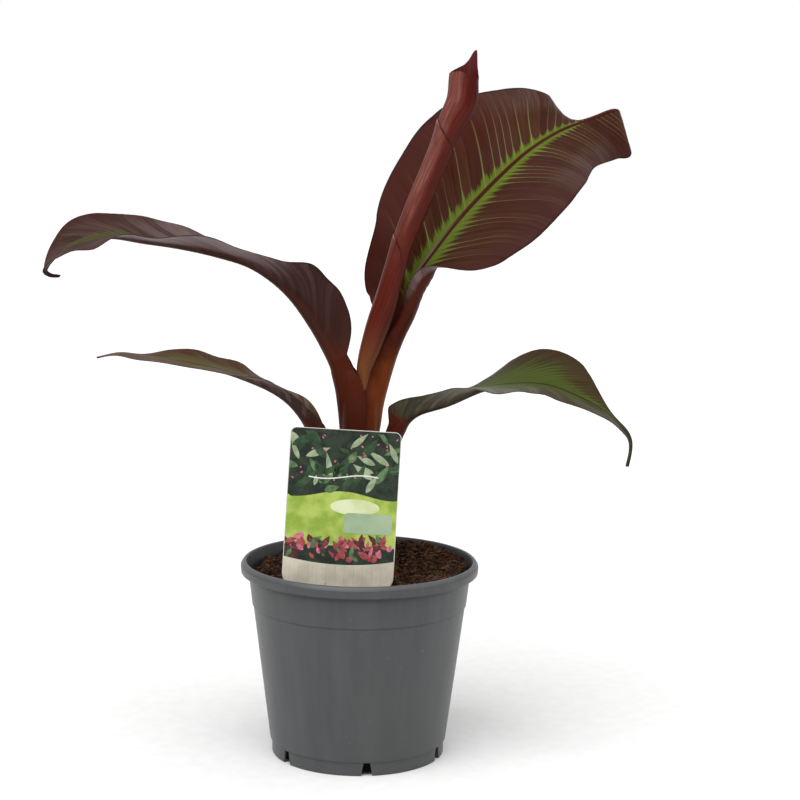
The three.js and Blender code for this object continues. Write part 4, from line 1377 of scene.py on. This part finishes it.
def roll_column(sheet, number, layer, angle, top, angles, curve_length):
    """A rolled sheet's lengthwise line at one angle: its points, lengths and way to the nearest edge."""
    t = ROLL_START + np.linspace(0, 1, ROLL_ROWS) ** 0.9 * (top - ROLL_START)
    lengths = t * curve_length
    place, across, up = spine_frames(ROLL_SPINE, 90, lengths)
    a = math.radians(angle)
    spiral = ROLL_SPIRAL * (angle - angles[-1]) / 360
    to_edge = np.minimum((top - t) * curve_length, abs(angle - angles[0]) / RADIAN * ROLL_RADIUS)
    flare = ROLL_FLARE * np.exp(-to_edge / 2.0) if number else 0.0
    pleats = 0.10 * np.sin(5 * a + lengths / 37) + 0.06 * np.sin(9 * a - lengths / 23)
    inset = sheet["inset"] - spiral - flare + layer * ROLL_WALL + 0.1 - pleats
    wide, deep = (np.maximum(keyed(radii, t) - inset, 0.25) for radii in (ROLL_WIDE, ROLL_DEEP))
    points = place + across * (wide * math.cos(a))[:, None] + up * (deep * math.sin(a))[:, None]
    return points, lengths, to_edge if number else to_edge + 2.0


def build_roll():
    """Three sheets rolled round each other, each a closed thin body that ends at its own slanting edge."""
    curve_length = smooth_spine(ROLL_SPINE)[1][-1]
    vertices, faces, kinds = [], [], []
    attributes = {"around": [], "leaf_length": [], "margin": []}
    for number, sheet in enumerate(ROLL_SHEETS):
        edge = np.array(sheet["edge"], float)
        angles = np.linspace(edge[0, 0], edge[-1, 0], ROLL_COLUMNS)
        tops = np.interp(-angles, -edge[:, 0], edge[:, 1])
        tops = np.convolve(np.pad(tops, 1, mode="edge"), np.ones(3) / 3, mode="valid")
        sheet_faces, sheet_kinds = sheet_solid(ROLL_COLUMNS, ROLL_ROWS)
        first = len(vertices)
        faces.extend(tuple(i + first for i in face) for face in sheet_faces)
        kinds.extend(sheet_kinds)
        for layer in (0, 1):
            for angle, top in zip(angles, tops):
                points, lengths, to_edge = roll_column(sheet, number, layer, angle, top, angles, curve_length)
                vertices.extend(points.tolist())
                attributes["around"].extend([math.radians(angle)] * ROLL_ROWS)
                attributes["leaf_length"].extend(lengths)
                attributes["margin"].extend(to_edge)
    make_piece("new_leaf_roll", vertices, faces, [roll_material(), roll_inside_material()],
               ["rolled_leaf"], kinds, attributes, sharp=60)


# Studio

def build_camera():
    cy, sy = math.cos(CAMERA_YAW), math.sin(CAMERA_YAW)
    cp, sp = math.cos(CAMERA_PITCH), math.sin(CAMERA_PITCH)
    cr, sr = math.cos(CAMERA_ROLL), math.sin(CAMERA_ROLL)
    level_right = Vector((cy, -sy, 0))
    forward = Vector((sy * cp, cy * cp, -sp))
    level_up = Vector((sy * sp, cy * sp, cp))
    right = cr * level_right + sr * level_up
    up = cr * level_up - sr * level_right
    data = bpy.data.cameras.new("camera")
    data.sensor_width = SENSOR_WIDTH
    data.lens = FOCAL_PIXELS / IMAGE_PIXELS * SENSOR_WIDTH
    data.clip_end = CAMERA_FAR
    camera = bpy.data.objects.new("camera", data)
    turn = Matrix((right, up, -forward)).transposed().to_4x4()
    camera.matrix_world = Matrix.Translation(CAMERA_PLACE) @ turn
    bpy.context.scene.collection.objects.link(camera)
    bpy.context.scene.camera = camera


def soft_sun(name, toward, strength, spread):
    """A wide even light from one side, like a big softbox far away."""
    data = bpy.data.lights.new(name, "SUN")
    data.energy = strength
    data.angle = math.radians(spread)
    light = bpy.data.objects.new(name, data)
    light.rotation_euler = (-Vector(toward)).to_track_quat("-Z", "Y").to_euler()
    bpy.context.scene.collection.objects.link(light)


def build_world():
    """A white backdrop, and for the light a room that is bright behind the plant and dim in front of it."""
    world = bpy.data.worlds.new("studio")
    bpy.context.scene.world = world
    world.use_nodes = True
    nodes = Nodes(world.node_tree)
    room = nodes.tree.nodes["Background"]
    behind = nodes.part(nodes.add("TexCoord", {}, "Generated"), "Y")
    nodes.put(room.inputs["Color"], WHITE)
    nodes.put(room.inputs["Strength"], nodes.span(behind, -0.35, 0.75, ROOM_FRONT, ROOM_BACK))
    backdrop = nodes.add("Background", {"Color": WHITE})
    is_seen = nodes.add("LightPath", {}, "Is Camera Ray")
    seen = nodes.add("MixShader", {0: is_seen, 1: room.outputs[0], 2: backdrop})
    nodes.put(nodes.tree.nodes["World Output"].inputs["Surface"], seen)


def build_floor():
    paint = Paint("floor_paper", roughness=0.9, specular=0.1)
    speckle = paint.noise(paint.place(), 90.0, 3.0)
    colour = paint.layered(FLOOR_GREYS[0], (FLOOR_GREYS[1], speckle, 0.3, 0.7))
    corners = [(x * FLOOR_HALF, y * FLOOR_HALF, 0) for x, y in ((-1, -1), (1, -1), (1, 1), (-1, 1))]
    floor = mesh_object("floor", corners, [(0, 1, 2, 3)])
    floor.data.materials.append(paint.finish(colour, None, paint.bump(speckle, 0.05, 0.001)))


def build_studio():
    soft_sun("key", *KEY_SUN)
    soft_sun("fill", *FILL_SUN)
    build_world()
    bpy.context.scene.view_settings.view_transform = "Standard"
    build_floor()


build_camera()
build_studio()
build_pot()
build_soil()
build_crumbs()
build_fibres()
build_label()
build_fronds()
build_roll()
